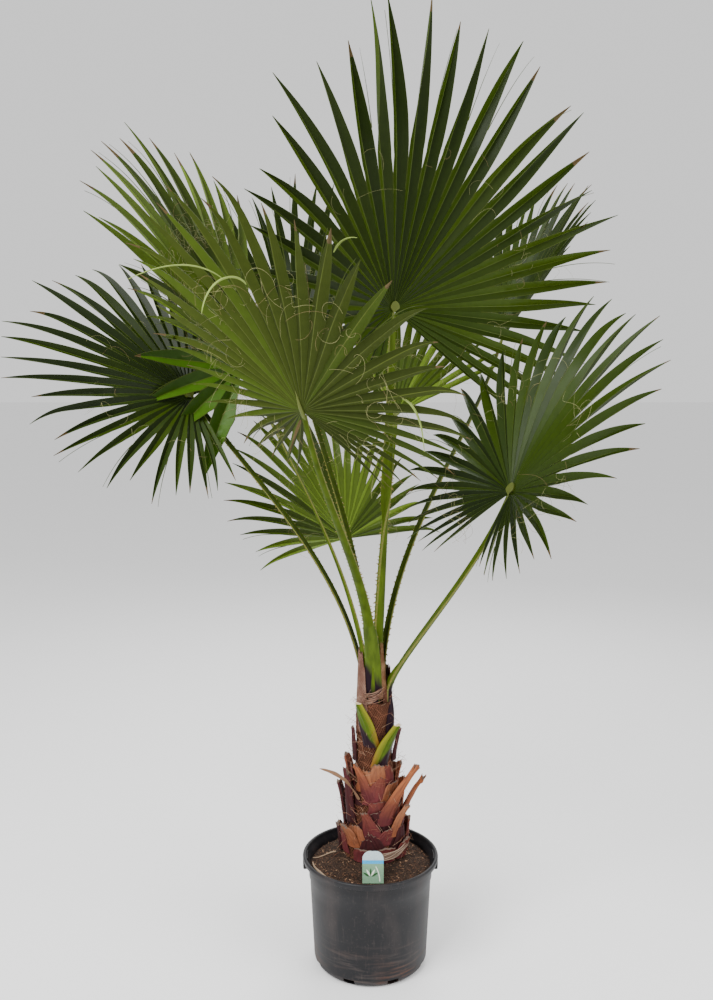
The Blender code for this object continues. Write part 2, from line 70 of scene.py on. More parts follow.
POT_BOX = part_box("pot")
POT_HEIGHT = POT_BOX[1].z
RIM_RADIUS = POT_BOX[1].x
BODY_TOP_RADIUS = 0.165
FOOT_RADIUS = 0.135
HEEL_RADIUS = 0.022
HEEL_SHARE = 0.7
FEET_HEIGHT = 0.003
LIP_HEIGHT = 0.016
LIP_RADIUS = 0.0048
WALL = 0.004
STEP_HEIGHT = 0.236
STEP_DEPTH = 0.002
GRIP_HALF_ANGLE = 8.0
GRIP_DEPTH = 0.012
GRIP_FOOT = 0.259
GRIP_EDGE = 0.0022
GRIP_STATIONS = ((-1.0, 0.0016), (-0.95, 0.0004), (-0.5, 0.0), (0.0, 0.0), (0.5, 0.0), (0.95, 0.0004),
                 (1.0, 0.0016))
DRAIN_COUNT = 8
DRAIN_PLACE = (0.143, 0.0, 0.012)
DRAIN_SIZE = (0.030, 0.030, 0.014)

SOIL_TOP = 0.282
SOIL_FALL = 0.016
SOIL_BANK = 0.014
SOIL_SIDE_TOP = 0.235
SOIL_GAP = 0.0012
SOIL_HEAPS = ((0.0030, 0.3, 22), (0.0020, 1.3, 70), (0.0010, 2.3, 190))
SOIL_RINGS = 62
SOIL_SIDES = 260
SOIL_REACH = 0.155
CHIP_SEED = 31
CHIP_TONES = (0, 0, 1, 1, 2, 2, 3)
CHIP_STATIONS = ((-0.5, 0.35), (-0.3, 1.0), (0.15, 0.85), (0.5, 0.3))
CHIP_SECTION = ((-0.5, 0.0), (0.0, -0.5), (0.5, 0.0), (0.1, 0.5))
RIDGE_HEADING = 222
RIDGE_RADIUS = 0.153
RIDGE_RISE = 0.013
TWIG_ENDS = ((-0.154, 0.020, 0.0), (-0.092, 0.026, 0.0))
BOW_RADIUS = 0.1535
BOW_HEIGHT = 0.2765

TRUNK_PLACE = (0.010, 0.045)
TRUNK_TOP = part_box("trunk")[1].z
TRUNK_FOOT_RADIUS = 0.084
TRUNK_NECK_RADIUS = 0.046
TRUNK_DRAW_IN = 2.4
TRUNK_SIDES = 150
TRUNK_LEVELS = 190
SHEET_RADIUS = 0.050
RISING_PITCH, RISING_SLANT = 0.0062, 0.75
FALLING_PITCH, FALLING_SLANT = 0.0074, 0.62

SPLIT_SHARE = 0.46
LEAST_SPLIT, MOST_SPLIT = 0.40, 0.51
TONGUE_LENGTH = 0.030
TONGUE_RADIUS = 0.018
TONGUE_THICKNESS = 0.0034
HEART_SHARE = 0.2
LAUNCH_RISE = 80
ARRIVAL_SHARE = 0.35
PETIOLE_TIP_WIDTH = 0.014
PETIOLE_DEPTH = 0.62
PETIOLE_SWELL = 1.1
TOOTH_LENGTH = 0.0072
FIRST_TOOTH, LAST_TOOTH = 0.8, 0.93
PETIOLE_SEED = 60
FAN_SEED = 200
LOBES_SEED = 12
THREAD_SEED = 404
THREAD_STEP = 0.0038
MOST_THREAD_BEND = 0.34
BOOT_CLEARANCE = 0.0012


class Frond(NamedTuple):
    """One leaf: where its blade's heart is, how the blade lies and how its leaflets spread."""

    heart: tuple
    heading: float
    rise: float
    roll: float
    reach: float
    left: float
    right: float
    leaflets: int
    cup: float
    shrink: float
    droop: float
    arch: float
    foot_heading: float
    arrival: float
    foot_radius: float = 0.030
    base_width: float = 0.022
    launch: float = 0.35
    sheath: float = 0.10
    girth: float = 1.0


FRONDS = {
    "a": Frond((0.06, 0.18, 1.73), 115, 88, -10, 0.80, 150, 138, 37, cup=23, shrink=0.64, droop=0.02,
               arch=0.05, foot_heading=320, arrival=86, foot_radius=0.010, base_width=0.020,
               girth=1.70),
    "b": Frond((-0.15, -0.44, 1.48), 238, 53, 10, 0.55, 152, 150, 38, cup=8, shrink=0.78, droop=0.04,
               arch=0.09, foot_heading=264, arrival=62, foot_radius=0.032, base_width=0.030),
    "c": Frond((-0.48, 0.15, 1.50), 174, 37, 40, 0.52, 150, 115, 34, cup=12, shrink=0.55, droop=0.07,
               arch=0.06, foot_heading=164, arrival=52, sheath=0.06),
    "d": Frond((-0.345, 0.21, 1.58), 175, 59, 16, 0.77, 82, 39, 17, cup=16, shrink=0.90, droop=0.06,
               arch=0.14, foot_heading=216, arrival=60),
    "e": Frond((-0.216, 0.56, 1.63), 105, 80, 0, 0.55, 38, 52, 13, cup=5, shrink=0.45, droop=0.03,
               arch=0.04, foot_heading=150, arrival=60, foot_radius=0.013, base_width=0.018),
    "f": Frond((0.328, -0.18, 1.28), 20, 59, -2, 0.59, 152, 158, 37, cup=12, shrink=0.80, droop=0.08,
               arch=0.11, foot_heading=350, arrival=67, foot_radius=0.037, base_width=0.024,
               launch=0.13, sheath=0.03, girth=1.35),
    "g": Frond((0.42, 0.63, 1.67), 41, 44, 11, 0.57, 45, 82, 17, cup=28, shrink=0.46, droop=0.04,
               arch=0.06, foot_heading=40, arrival=58),
    "h": Frond((0.08, 0.46, 1.44), 85, 60, 0, 0.42, 40, 70, 15, cup=18, shrink=0.50, droop=0.05,
               arch=0.06, foot_heading=70, arrival=55, foot_radius=0.013, base_width=0.018),
    "i": Frond((-0.07, 0.36, 1.08), 137, 60, 5, 0.50, 95, 95, 25, cup=8, shrink=0.80, droop=0.08,
               arch=0.06, foot_heading=102, arrival=20),
}


class Look(NamedTuple):
    """A frond's greens, the share of its tips that are brown, how far tips curl, and its threads."""

    greens: tuple
    brown: float
    curl: float
    threads: int = 0


LOOKS = {
    "a": Look(("deep", "deep", "leafy"), 0.4, 0.01, 40),
    "b": Look(("olive", "olive", "mid"), 0.7, 0.03, 150),
    "c": Look(("dark", "deep", "dark"), 0.4, 0.04, 30),
    "d": Look(("bright", "bright", "mid"), 0.5, 0.01, 150),
    "e": Look(("dark", "deep", "dark"), 0.3, 0.01, 10),
    "f": Look(("deep", "dark", "deep"), 0.5, 0.03, 90),
    "g": Look(("dark", "dark", "deep"), 0.9, 0.02, 30),
    "h": Look(("mid", "bright", "mid"), 0.5, 0.03, 60),
    # Fan i's bright greens are partly its own yellow-green and partly painted light, which stands in for
    # light shining through its leaflets from behind.
    "i": Look(("bright", "mid", "mid"), 0.4, 0.03, 70),
}

# The broad young leaflets that reach forwards on the left, from the heart of frond d
LOBES = Frond((-0.345, 0.17, 1.575), 205, -20, 75, 0.27, 57, 42, 4, cup=4, shrink=-1.0, droop=0.05,
              arch=0.05, foot_heading=0, arrival=0)
LOBES_LOOK = Look(("vivid", "vivid", "vivid"), 0.3, 0.02)


class Ribbon(NamedTuple):
    """A leaflet that has bent over: the corners of its curve, its width and its finish."""

    start: tuple
    first: tuple
    second: tuple
    end: tuple
    width: float
    finish: str


RIBBON_ROWS = 18
RIBBON_TIP = 0.0006
RIBBONS = (
    Ribbon((-0.290, -0.62, 1.735), (-0.330, -0.65, 1.765), (-0.390, -0.66, 1.760), (-0.453, -0.67, 1.728),
           0.006, "bent"),
    Ribbon((-0.242, -0.64, 1.721), (-0.262, -0.66, 1.748), (-0.310, -0.68, 1.728), (-0.318, -0.69, 1.664),
           0.010, "bent"),
    Ribbon((0.034, -0.60, 1.514), (0.069, -0.62, 1.512), (0.088, -0.63, 1.475), (0.092, -0.63, 1.409),
           0.009, "bent"),
    Ribbon((-0.080, -0.60, 1.784), (-0.070, -0.61, 1.803), (-0.055, -0.62, 1.811), (-0.036, -0.62, 1.808),
           0.006, "bent"),
    Ribbon((-0.153, -0.45, 1.462), (-0.158, -0.46, 1.440), (-0.170, -0.465, 1.415), (-0.176, -0.46, 1.393),
           0.010, "tip"),
)


class LeafBase(NamedTuple):
    """What an old leaf leaves on the trunk: a plate that leans from its foot's heading to its tip's."""

    foot_heading: float
    tip_heading: float
    foot_height: float
    length: float
    flare: float
    foot_width: float
    tip_width: float
    thickness: float


FRONT_BOOTS = (
    LeafBase(294, 336, 0.382, 0.180, 0.052, 0.056, 0.028, 0.012),
    LeafBase(349, 353, 0.364, 0.150, 0.060, 0.054, 0.026, 0.011),
    LeafBase(316, 322, 0.346, 0.105, 0.036, 0.040, 0.022, 0.009),
    LeafBase(256, 226, 0.450, 0.105, 0.012, 0.036, 0.018, 0.008),
    LeafBase(280, 277, 0.484, 0.072, 0.018, 0.038, 0.034, 0.008),
    LeafBase(268, 252, 0.348, 0.085, 0.016, 0.050, 0.018, 0.009),
    LeafBase(202, 200, 0.378, 0.165, 0.012, 0.056, 0.030, 0.010),
    LeafBase(226, 220, 0.320, 0.073, 0.028, 0.044, 0.036, 0.010),
    LeafBase(250, 250, 0.286, 0.040, 0.005, 0.056, 0.050, 0.007),
    LeafBase(290, 290, 0.286, 0.046, 0.010, 0.056, 0.050, 0.008),
    LeafBase(331, 331, 0.286, 0.056, 0.012, 0.058, 0.044, 0.008),
)
FRONT_HUSKS = ("orange", "orange", "tan", "orange", "tan", "red", "dark", "tan", "red", "red", "red")
BACK_HUSKS = ("red", "dark", "red", "dark", "orange", "red", "tan", "dark", "orange", "tan", "red")


class Row(NamedTuple):
    """Leaf bases round the trunk's back, evenly spaced from the first heading to the last."""

    count: int
    first_heading: float
    last_heading: float
    foot_height: float
    length: float
    flare: float
    foot_width: float
    tip_width: float


BACK_ROWS = (
    Row(4, 20, 168, 0.286, 0.090, 0.010, 0.058, 0.034),
    Row(4, 30, 166, 0.343, 0.140, 0.022, 0.050, 0.026),
    Row(3, 40, 150, 0.423, 0.120, 0.022, 0.050, 0.022),
)
BOOT_SEED = 7
BOOT_THICKNESS = 0.011
PLATE_STATIONS, PLATE_COLUMNS = 22, 17
LAYER_ROWS = ((0.287, 8), (0.318, 7), (0.352, 7), (0.388, 6), (0.424, 6), (0.460, 5))
LAYER_THICKNESS = 0.0034
LAYER_STATIONS = 14
LAYER_TONES = ("dark", "red", "red", "dark", "tan")
LAYER_SEED = 19

STUBS = {
    "green_stub_left": LeafBase(262, 226, 0.590, 0.130, 0.010, 0.040, 0.020, 0.011),
    "green_stub_right": LeafBase(282, 318, 0.535, 0.130, 0.026, 0.040, 0.022, 0.013),
    "brown_stub_left": LeafBase(190, 188, 0.540, 0.100, 0.004, 0.036, 0.022, 0.007),
    "brown_stub_right": LeafBase(352, 356, 0.540, 0.095, 0.014, 0.036, 0.020, 0.008),
}
STUB_SEED = 40

STRIP_HEADING = 227
STRIP_FOOT_HEIGHT = 0.440
STRIP_RISE = 0.106
STRIP_TIP = (-0.133, -0.050)
STRIP_HALF_WIDTH = 0.0066
STRIP_ROLL = 1.25
STRIP_SECTION = ((-1, 1), (-0.5, 1), (0, 1), (0.5, 1), (1, 1), (0.5, -0.4), (0, -0.4), (-0.5, -0.4))

STRAP_FIBRES = 11
STRAP_RADIUS = 0.0985
STRAP_HEIGHT = 0.2935
LOOSE_FIBRES = 520
FIBRE_SEED = 77


class Wrap(NamedTuple):
    """A thin sheath round the trunk's neck: where it is, how high it rises and its tone."""

    heading: float
    half_turn: float
    low: float
    rise: float
    radius: float
    tone: str


NECK_WRAPS = (
    Wrap(204, 46, 0.620, 0.220, 0.0480, "pink"), Wrap(150, 60, 0.610, 0.190, 0.0490, "brown"),
    Wrap(20, 56, 0.620, 0.170, 0.0485, "pink"), Wrap(85, 60, 0.615, 0.200, 0.0490, "brown"),
    Wrap(304, 21, 0.712, 0.150, 0.0400, "tan"), Wrap(318, 16, 0.690, 0.085, 0.0420, "brown"),
)
WRAP_ROWS, WRAP_COLUMNS = 26, 23
WRAP_THICKNESS = 0.0012
WRAP_SEED = 5
COLLAR_FIBRES = 16
COLLAR_HEIGHT = 0.700
COLLAR_RADIUS = 0.0474


class Clasp(NamedTuple):
    """A stalk's broad foot: its place, its half widths and depths from low to high, and its green line."""

    name: str
    frond: str
    heading: float
    low: float
    first_share: float
    halves: tuple
    depths: tuple
    green_line: float
    slope: float


CLASPS = (
    Clasp("front", "b", 264, TRUNK_TOP, 0.026, (0.0245, 0.0155), (0.0090, 0.0105), 0.786, -1.5),
    Clasp("right", "f", 326, 0.612, 0.020, (0.0150, 0.0085), (0.0120, 0.0085), 0.768, 5.0),
)

LABEL_PLACE = (-0.125, 0.2727)
LABEL_LEAN = 12
LABEL_CORNER = 0.020
LABEL_BOW = 0.0011
LABEL_THICKNESS = 0.0009
BAND_LOW, BAND_HIGH = 0.60, 0.71
FIGURE_LEAF = ((0.1, 0.0), (0.4, -1.0), (0.75, -0.7), (1.0, 0.0), (0.75, 0.7), (0.4, 1.0))

CAMERA_PLACE = (-0.037, -2.53, 1.55)
CAMERA_TILT = 83
LENS = 36.0
SENSOR_WIDTH = 36.0
FLOOR_SPAN = 60.0
LAMPS = (
    ("key", (-2.2, -2.6, 4.0), (0.0, 0.0, 1.3), 2.6),
    ("side", (2.8, -1.8, 2.6), (0.0, 0.0, 1.2), 2.4),
    ("back", (0.6, 2.8, 3.4), (0.0, 0.0, 1.4), 2.4),
)


# Settings that a user would change


def colour_setting(name, description, default):
    """A colour picker."""
    return FloatVectorProperty(name=name, description=description, default=default, size=3,
                               min=0.0, max=1.0, subtype="COLOR")


def length_setting(name, description, default):
    """A length in metres."""
    return FloatProperty(name=name, description=description, default=default, min=0.0,
                         unit="LENGTH", subtype="DISTANCE", precision=4)


class PalmPotSettings(bpy.types.PropertyGroup):
    """The nursery pot."""

    sides: IntProperty(name="Sides", description="How many sides the round wall has", default=144, min=24)
    plastic: colour_setting("Plastic", "Colour of the moulded plastic", (0.006, 0.006, 0.0075))
    dust: colour_setting("Dust", "Colour of dried mud and dust on the wall", (0.120, 0.090, 0.080))


class PalmSoilSettings(bpy.types.PropertyGroup):
    """The potting soil."""

    chips: IntProperty(name="Chips", description="How many bark chips and fibres lie on the soil",
                       default=3400, min=0)
    earth: colour_setting("Earth", "Colour of the damp soil", (0.030, 0.017, 0.011))
    straw: colour_setting("Straw", "Colour of the palest chips", (0.260, 0.150, 0.085))


class PalmTrunkSettings(bpy.types.PropertyGroup):
    """The trunk and the old leaf bases on it."""

    relief: length_setting("Fibre relief", "How far the woven fibre stands out", 0.0018)
    fibre: colour_setting("Fibre", "Colour of the woven fibre", (0.230, 0.088, 0.048))
    husk: colour_setting("Leaf base", "Colour of a dry leaf base at its foot", (0.075, 0.014, 0.016))
    husk_tip: colour_setting("Leaf base tip", "Colour of a dry leaf base at its tip", (0.290, 0.095, 0.036))


class PalmFrondSettings(bpy.types.PropertyGroup):
    """The stalks and fan blades."""

    thickness: length_setting("Blade thickness", "How thick a leaflet is", 0.0010)
    fold: FloatProperty(name="Fold", description="How steep the sides of a pleat are", default=0.62,
                        min=0.0, max=2.0)
    threads: FloatProperty(name="Threads", description="How many of its curled threads each fan has",
                           default=1.0, min=0.0)
    bent: FloatProperty(name="Bent", description="What share of the leaflets bend right over",
                        default=0.0, min=0.0, max=1.0, subtype="FACTOR")
    green: colour_setting("Green", "Colour of a full-grown leaflet", (0.017, 0.031, 0.002))
    stalk: colour_setting("Stalk", "Colour of a stalk", (0.056, 0.088, 0.006))
    stalk_foot: colour_setting("Stalk foot", "Colour at the foot of the outer stalks",
                               (0.010, 0.0035, 0.007))


class PalmLabelSettings(bpy.types.PropertyGroup):
    """The grower's card."""

    width: length_setting("Width", "Width of the card", 0.054)
    height: length_setting("Height", "Height of the card", 0.080)
    band: colour_setting("Band", "Colour of the band", (0.030, 0.320, 0.620))


class PalmStageSettings(bpy.types.PropertyGroup):
    """The floor, the light and the camera."""

    floor: colour_setting("Floor", "Colour of the floor and backdrop", (0.900, 0.900, 0.900))
    key: FloatProperty(name="Key light", description="Power of the main light", default=300.0,
                       min=0.0, unit="POWER")
    fill: FloatProperty(name="Fill light", description="Power of the side and back lights",
                        default=95.0, min=0.0, unit="POWER")
    sky: FloatProperty(name="Sky", description="Strength of the even light all round", default=1.0,
                       min=0.0)


# Shader maths


class Value:
    """A shader value: arithmetic on it adds Math nodes to its finish."""

    def __init__(self, finish, socket):
        self.finish = finish
        self.socket = socket

    def joined(self, operation, first, second):
        """A Math node over two values."""
        return self.finish.node("ShaderNodeMath", {"operation": operation}, {0: first, 1: second})

    def __add__(self, other):
        return self.joined("ADD", self, other)

    def __radd__(self, other):
        return self.joined("ADD", other, self)

    def __sub__(self, other):
        return self.joined("SUBTRACT", self, other)

    def __rsub__(self, other):
        return self.joined("SUBTRACT", other, self)

    def __mul__(self, other):
        return self.joined("MULTIPLY", self, other)

    def __rmul__(self, other):
        return self.joined("MULTIPLY", other, self)


class Finish:
    """A material round a Principled shader; its nodes come from one method."""

    def __init__(self, name, specular):
        self.material = bpy.data.materials.new(name)
        self.material.use_nodes = True
        self.tree = self.material.node_tree
        self.shader = self.tree.nodes["Principled BSDF"]
        self.shader.inputs["Specular IOR Level"].default_value = specular

    def node(self, kind, settings=None, inputs=None, output=0):
        """A node of the type, with its settings made first and then its sockets' values or links."""
        made = self.tree.nodes.new(kind)
        for name, setting in (settings or {}).items():
            setattr(made, name, setting)
        for key, entry in (inputs or {}).items():
            self.plug(made.inputs[key], entry)
        return Value(self, made.outputs[output])

    def plug(self, socket, entry):
        """Links a value to the socket, or sets a number or colour on it."""
        if isinstance(entry, Value):
            self.tree.links.new(entry.socket, socket)
        elif hasattr(entry, "__len__") and socket.type == "RGBA":
            socket.default_value = (*entry, 1.0)
        else:
            socket.default_value = entry

    def place(self, stretch=(1.0, 1.0, 1.0)):
        """Where on the object the surface is, stretched along the axes."""
        spot = self.node("ShaderNodeTexCoord", output=3)
        return self.node("ShaderNodeMapping", None, {"Vector": spot, "Scale": stretch})

    def sheet(self, stretch=(1.0, 1.0, 1.0)):
        """Where on the unrolled sheet the surface is."""
        spot = self.node("ShaderNodeUVMap", {"uv_map": "sheet"})
        return self.node("ShaderNodeMapping", None, {"Vector": spot, "Scale": stretch})

    def along(self, vector, axis):
        """One coordinate of a place: 0, 1 or 2."""
        return self.node("ShaderNodeSeparateXYZ", None, {0: vector}, output=axis)

    def noise(self, vector, scale, detail=3.0):
        """Cloudy variation from 0 to 1."""
        return self.node("ShaderNodeTexNoise", None, {"Vector": vector, "Scale": scale, "Detail": detail})

    def wave(self, value):
        """A sine of the value, from 0 to 1."""
        turn = self.node("ShaderNodeMath", {"operation": "SINE"}, {0: value})
        return turn * 0.5 + 0.5

    def spread(self, value, low, high):
        """0 below the low value and 1 above the high one."""
        return self.node("ShaderNodeMapRange", None, {"Value": value, "From Min": low, "From Max": high})

    def mix(self, share, first, second):
        """A colour between two."""
        return self.node("ShaderNodeMix", {"data_type": "RGBA"}, {0: share, 6: first, 7: second}, output=2)

    def paint(self, colour, roughness, relief=None, depth=0.001, strength=1.0):
        """Gives the shader its colour and roughness, and the surface its relief."""
        self.plug(self.shader.inputs["Base Color"], colour)
        self.plug(self.shader.inputs["Roughness"], roughness)
        if relief is not None:
            bump = self.node("ShaderNodeBump", None,
                             {"Strength": strength, "Distance": depth, "Height": relief})
            self.plug(self.shader.inputs["Normal"], bump)
        return self.material


def shade(colour, factor):
    """The colour made darker or lighter."""
    return tuple(min(1.0, part * factor) for part in colour)


def blend(first, second, share):
    """A colour between two, as numbers."""
    return tuple(a + (b - a) * share for a, b in zip(first, second))


# Meshes


class Shape:
    """Grows a mesh from grids and lumps, and makes one piece of it."""

    def __init__(self):
        self.corners = []
        self.faces = []
        self.slots = []
        self.sheet = []
        self.count = 0

    def grid(self, points, slots=0, wrap=False, sheet=None):
        """A net of four-sided faces over rows of points; wrap joins each row's end to its start.

        slots is one material slot or a slot for each face, and sheet gives each point's place on the
        unrolled surface.
        """
        rows, columns = points.shape[:2]
        start = self.count
        self.corners.extend(points.reshape(-1, 3).tolist())
        if sheet is None:
            sheet = np.zeros((rows, columns, 2))
        self.sheet.extend(sheet.reshape(-1, 2).tolist())
        self.count += rows * columns
        across = columns if wrap else columns - 1
        for row in range(rows - 1):
            for column in range(across):
                after = (column + 1) % columns
                first = start + row * columns
                second = first + columns
                self.faces.append((first + column, first + after, second + after, second + column))
                self.slots.append(slots if isinstance(slots, int) else int(slots[row][column]))

    def cap(self, points, slot=0, flip=False):
        """One flat face over a ring of points."""
        start = self.count
        self.corners.extend(np.asarray(points).tolist())
        self.sheet.extend([(0.0, 0.0)] * len(points))
        self.count += len(points)
        face = tuple(range(start, self.count))
        self.faces.append(face[::-1] if flip else face)
        self.slots.append(slot)

    def rod(self, points, slot=0, foot_slot=None, tip_slot=None, sheet=None):
        """A closed rod from rings of points, with a flat face at each end."""
        self.grid(points, slot, wrap=True, sheet=sheet)
        self.cap(points[0], slot if foot_slot is None else foot_slot, flip=True)
        self.cap(points[-1], slot if tip_slot is None else tip_slot)

    def piece(self, name, materials, weld=0.00001, smooth=35):
        """The finished piece: doubles welded and shaded smooth."""
        mesh = bpy.data.meshes.new(name)
        mesh.from_pydata(self.corners, [], self.faces)
        for material in materials:
            mesh.materials.append(material)
        mesh.polygons.foreach_set("material_index", self.slots)
        layer = mesh.uv_layers.new(name="sheet")
        index = np.empty(len(mesh.loops), dtype=np.int32)
        mesh.loops.foreach_get("vertex_index", index)
        layer.data.foreach_set("uv", np.array(self.sheet, dtype=np.float32)[index].ravel())
        thing = bpy.data.objects.new(name, mesh)
        bpy.context.scene.collection.objects.link(thing)
        if weld:
            join = thing.modifiers.new("Weld", "WELD")
            join.merge_threshold = weld
            settle(thing)
        if smooth is not None:
            thing.data.shade_smooth()
            thing.data.set_sharp_from_angle(angle=math.radians(smooth))
        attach(thing, "root")
        return thing


def settle(thing):
    """Applies the piece's modifiers."""
    bpy.context.view_layer.update()
    evaluated = thing.evaluated_get(bpy.context.evaluated_depsgraph_get())
    mesh = bpy.data.meshes.new_from_object(evaluated, preserve_all_data_layers=True,
                                           depsgraph=bpy.context.evaluated_depsgraph_get())
    thing.modifiers.clear()
    old = thing.data
    thing.data = mesh
    bpy.data.meshes.remove(old)


def unit(vector):
    """The vector at length one, row by row."""
    return vector / np.linalg.norm(vector, axis=-1, keepdims=True)


def direction(heading, rise):
    """A unit vector from a heading and a rise."""
    turn = math.radians(heading)
    lift = math.radians(rise)
    return np.array((math.cos(lift) * math.cos(turn), math.cos(lift) * math.sin(turn), math.sin(lift)))


def bezier(start, first, second, end, share):
    """A point of a cubic curve between two ends."""
    rest = 1 - share
    return (start * rest ** 3 + first * (3 * rest * rest * share)
            + second * (3 * rest * share * share) + end * share ** 3)


def smooth_step(value):
    """0 below zero, 1 above one, with soft ends."""
    value = min(1.0, max(0.0, value))
    return value * value * (3 - 2 * value)


def grain(point, scale, seed=0.0):
    """Smooth noise from -1 to 1 at a point."""
    return noise.noise(Vector((point[0] * scale + seed, point[1] * scale + seed, point[2] * scale)))


def side_vectors(line):
    """Two vectors across a line, square to each other, at each point of it."""
    ahead = unit(np.gradient(line, axis=0))
    across = unit(np.cross(ahead, NEARLY_UP))
    return across, np.cross(across, ahead)


def tube(line, radii, sides):
    """Rings of points round a line, one radius for each point of it."""
    across, out = side_vectors(line)
    angles = np.linspace(0, math.tau, sides, endpoint=False)
    radii = np.asarray(radii)[:, None, None]
    return (line[:, None, :] + radii * (np.cos(angles)[None, :, None] * across[:, None, :]
                                        + np.sin(angles)[None, :, None] * out[:, None, :]))


# The pot


def wall_radius(height):
    """The outside of the pot's wall at a height above its heel."""
    share = (height - HEEL_RADIUS) / (POT_HEIGHT - LIP_HEIGHT - HEEL_RADIUS)
    heel = FOOT_RADIUS + HEEL_RADIUS * HEEL_SHARE
    step = STEP_DEPTH if height > STEP_HEIGHT else 0.0
    return heel + (BODY_TOP_RADIUS - STEP_DEPTH - heel) * share + step


def pot_profile():
    """The wall's section: up the inside, over the rolled lip, down the outside to the underside."""
    lip_foot = POT_HEIGHT - LIP_HEIGHT
    points = [(0.0, WALL), (FOOT_RADIUS - WALL, WALL)]
    points += [(wall_radius(height) - WALL, height) for height in (HEEL_RADIUS + WALL, 0.10, 0.20, 0.255)]
    points += [(wall_radius(lip_foot) - WALL, lip_foot - 0.004), (RIM_RADIUS - 0.0125, lip_foot + 0.003)]
    for step in range(7):
        angle = math.radians(180 - 30 * step)
        points.append((RIM_RADIUS - LIP_RADIUS + 0.0046 * math.cos(angle) * (1.15 if step < 3 else 1.0),
                       POT_HEIGHT - LIP_RADIUS + LIP_RADIUS * math.sin(angle)))
    points += [(RIM_RADIUS - 0.0012, lip_foot + 0.006), (RIM_RADIUS - 0.0022, lip_foot + 0.001)]
    points += [(RIM_RADIUS - 0.0045, lip_foot - 0.0005), (wall_radius(lip_foot) + 0.0012, lip_foot)]
    points += [(wall_radius(lip_foot), lip_foot - 0.003), (wall_radius(0.26), 0.26)]
    points += [(wall_radius(STEP_HEIGHT + 0.0015), STEP_HEIGHT + 0.0015)]
    points += [(wall_radius(STEP_HEIGHT - 0.0015), STEP_HEIGHT - 0.0015)]
    points += [(wall_radius(height), height) for height in (0.20, 0.15, 0.10, 0.06, 0.035)]
    for step in range(9):
        angle = math.radians(-9 * step)
        points.append((wall_radius(HEEL_RADIUS) - HEEL_RADIUS + HEEL_RADIUS * math.cos(angle),
                       HEEL_RADIUS + HEEL_RADIUS * math.sin(angle)))
    points += [(FOOT_RADIUS - 0.006, 0.0), (FOOT_RADIUS - 0.016, 0.0)]
    points += [(FOOT_RADIUS - 0.020, FEET_HEIGHT), (0.045, FEET_HEIGHT), (0.0, FEET_HEIGHT)]
    return points


def turned(profile, sides):
    """A net of points round Z from a section, heading by heading along each row."""
    section = np.array(profile)
    angles = np.linspace(0, math.tau, sides, endpoint=False)
    radius = section[:, 0][:, None]
    height = np.repeat(section[:, 1][:, None], sides, axis=1)
    return np.stack((radius * np.cos(angles), radius * np.sin(angles), height), axis=-1)


def pot_plastic(settings):
    """Dark moulded plastic with dust, mud smears and fine scratches."""
    finish = Finish("pot_plastic", specular=0.28)
    smears = finish.spread(finish.noise(finish.place((1.0, 1.0, 0.35)), 14.0, 6.0), 0.52, 0.78)
    specks = finish.spread(finish.noise(finish.place(), 160.0, 2.0), 0.60, 0.74)
    scratches = finish.spread(finish.noise(finish.place((4.0, 4.0, 0.25)), 60.0, 2.0), 0.62, 0.80)
    height = finish.along(finish.place(), 2)
    low = 1.0 - finish.spread(height, 0.02, 0.13)
    bands = finish.spread(finish.noise(finish.place((0.6, 0.6, 7.0)), 16.0, 4.0), 0.50, 0.70)
    dust = smears * 0.20 + specks * 0.14 + scratches * 0.22 + low * bands * 0.55
    stain = finish.spread(finish.noise(finish.place((1.0, 1.0, 2.2)), 9.0, 3.0), 0.50, 0.66) * low
    soil = finish.mix(stain, settings.dust[:], (0.160, 0.060, 0.030))
    colour = finish.mix(dust, settings.plastic[:], soil)
    return finish.paint(colour, dust * 0.4 + 0.46, finish.noise(finish.place(), 420.0, 2.0), 0.0002, 0.5)


def grip_block(shape, side):
    """A block with rounded edges that hangs from the lip: one of the two grips."""
    middle = 0.0 if side > 0 else 180.0
    inner, outer = RIM_RADIUS - GRIP_DEPTH, RIM_RADIUS - 0.0004
    top, foot, edge = POT_HEIGHT - 0.006, GRIP_FOOT, GRIP_EDGE
    section = ((inner, top), (outer - edge, top), (outer, top - edge), (outer, foot + edge),
               (outer - edge * 0.3, foot + edge * 0.3), (outer - edge, foot), (inner, foot))
    rings = []
    for turn, shrink in GRIP_STATIONS:
        angle = math.radians(middle + GRIP_HALF_ANGLE * turn)
        rings.append([((radius - shrink) * math.cos(angle), (radius - shrink) * math.sin(angle), height)
                      for radius, height in section])
    shape.rod(np.array(rings))


class PALM_OT_pot(bpy.types.Operator):
    """Build the nursery pot with its rolled lip, moulded step, grips and drainage slots"""

    bl_idname = "palm.pot"
    bl_label = "Pot"

    def execute(self, context):
        settings = context.scene.palm_pot
        shape = Shape()
        shape.grid(turned(pot_profile(), settings.sides), wrap=True)
        pot = shape.piece("nursery_pot", [pot_plastic(settings)], smooth=50)
        cutters = []
        for number in range(DRAIN_COUNT):
            bpy.ops.mesh.primitive_cube_add(size=1.0)
            cutter = context.object
            turn = math.radians(360 / DRAIN_COUNT * (number + 0.5))
            cutter.matrix_world = (Matrix.Rotation(turn, 4, "Z") @ Matrix.Translation(DRAIN_PLACE)
                                   @ Matrix.Diagonal((*DRAIN_SIZE, 1.0)))
            cut = pot.modifiers.new("Slot", "BOOLEAN")
            cut.operation = "DIFFERENCE"
            cut.object = cutter
            cutters.append(cutter)
        settle(pot)
        for cutter in cutters:
            bpy.data.objects.remove(cutter, do_unlink=True)
        pot.data.shade_smooth()
        pot.data.set_sharp_from_angle(angle=math.radians(40))
        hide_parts("pot")
        grips = Shape()
        for side in (-1, 1):
            grip_block(grips, side)
        handles = grips.piece("pot_grips", [pot.data.materials[0]], smooth=40)
        return {"FINISHED"}


# The soil


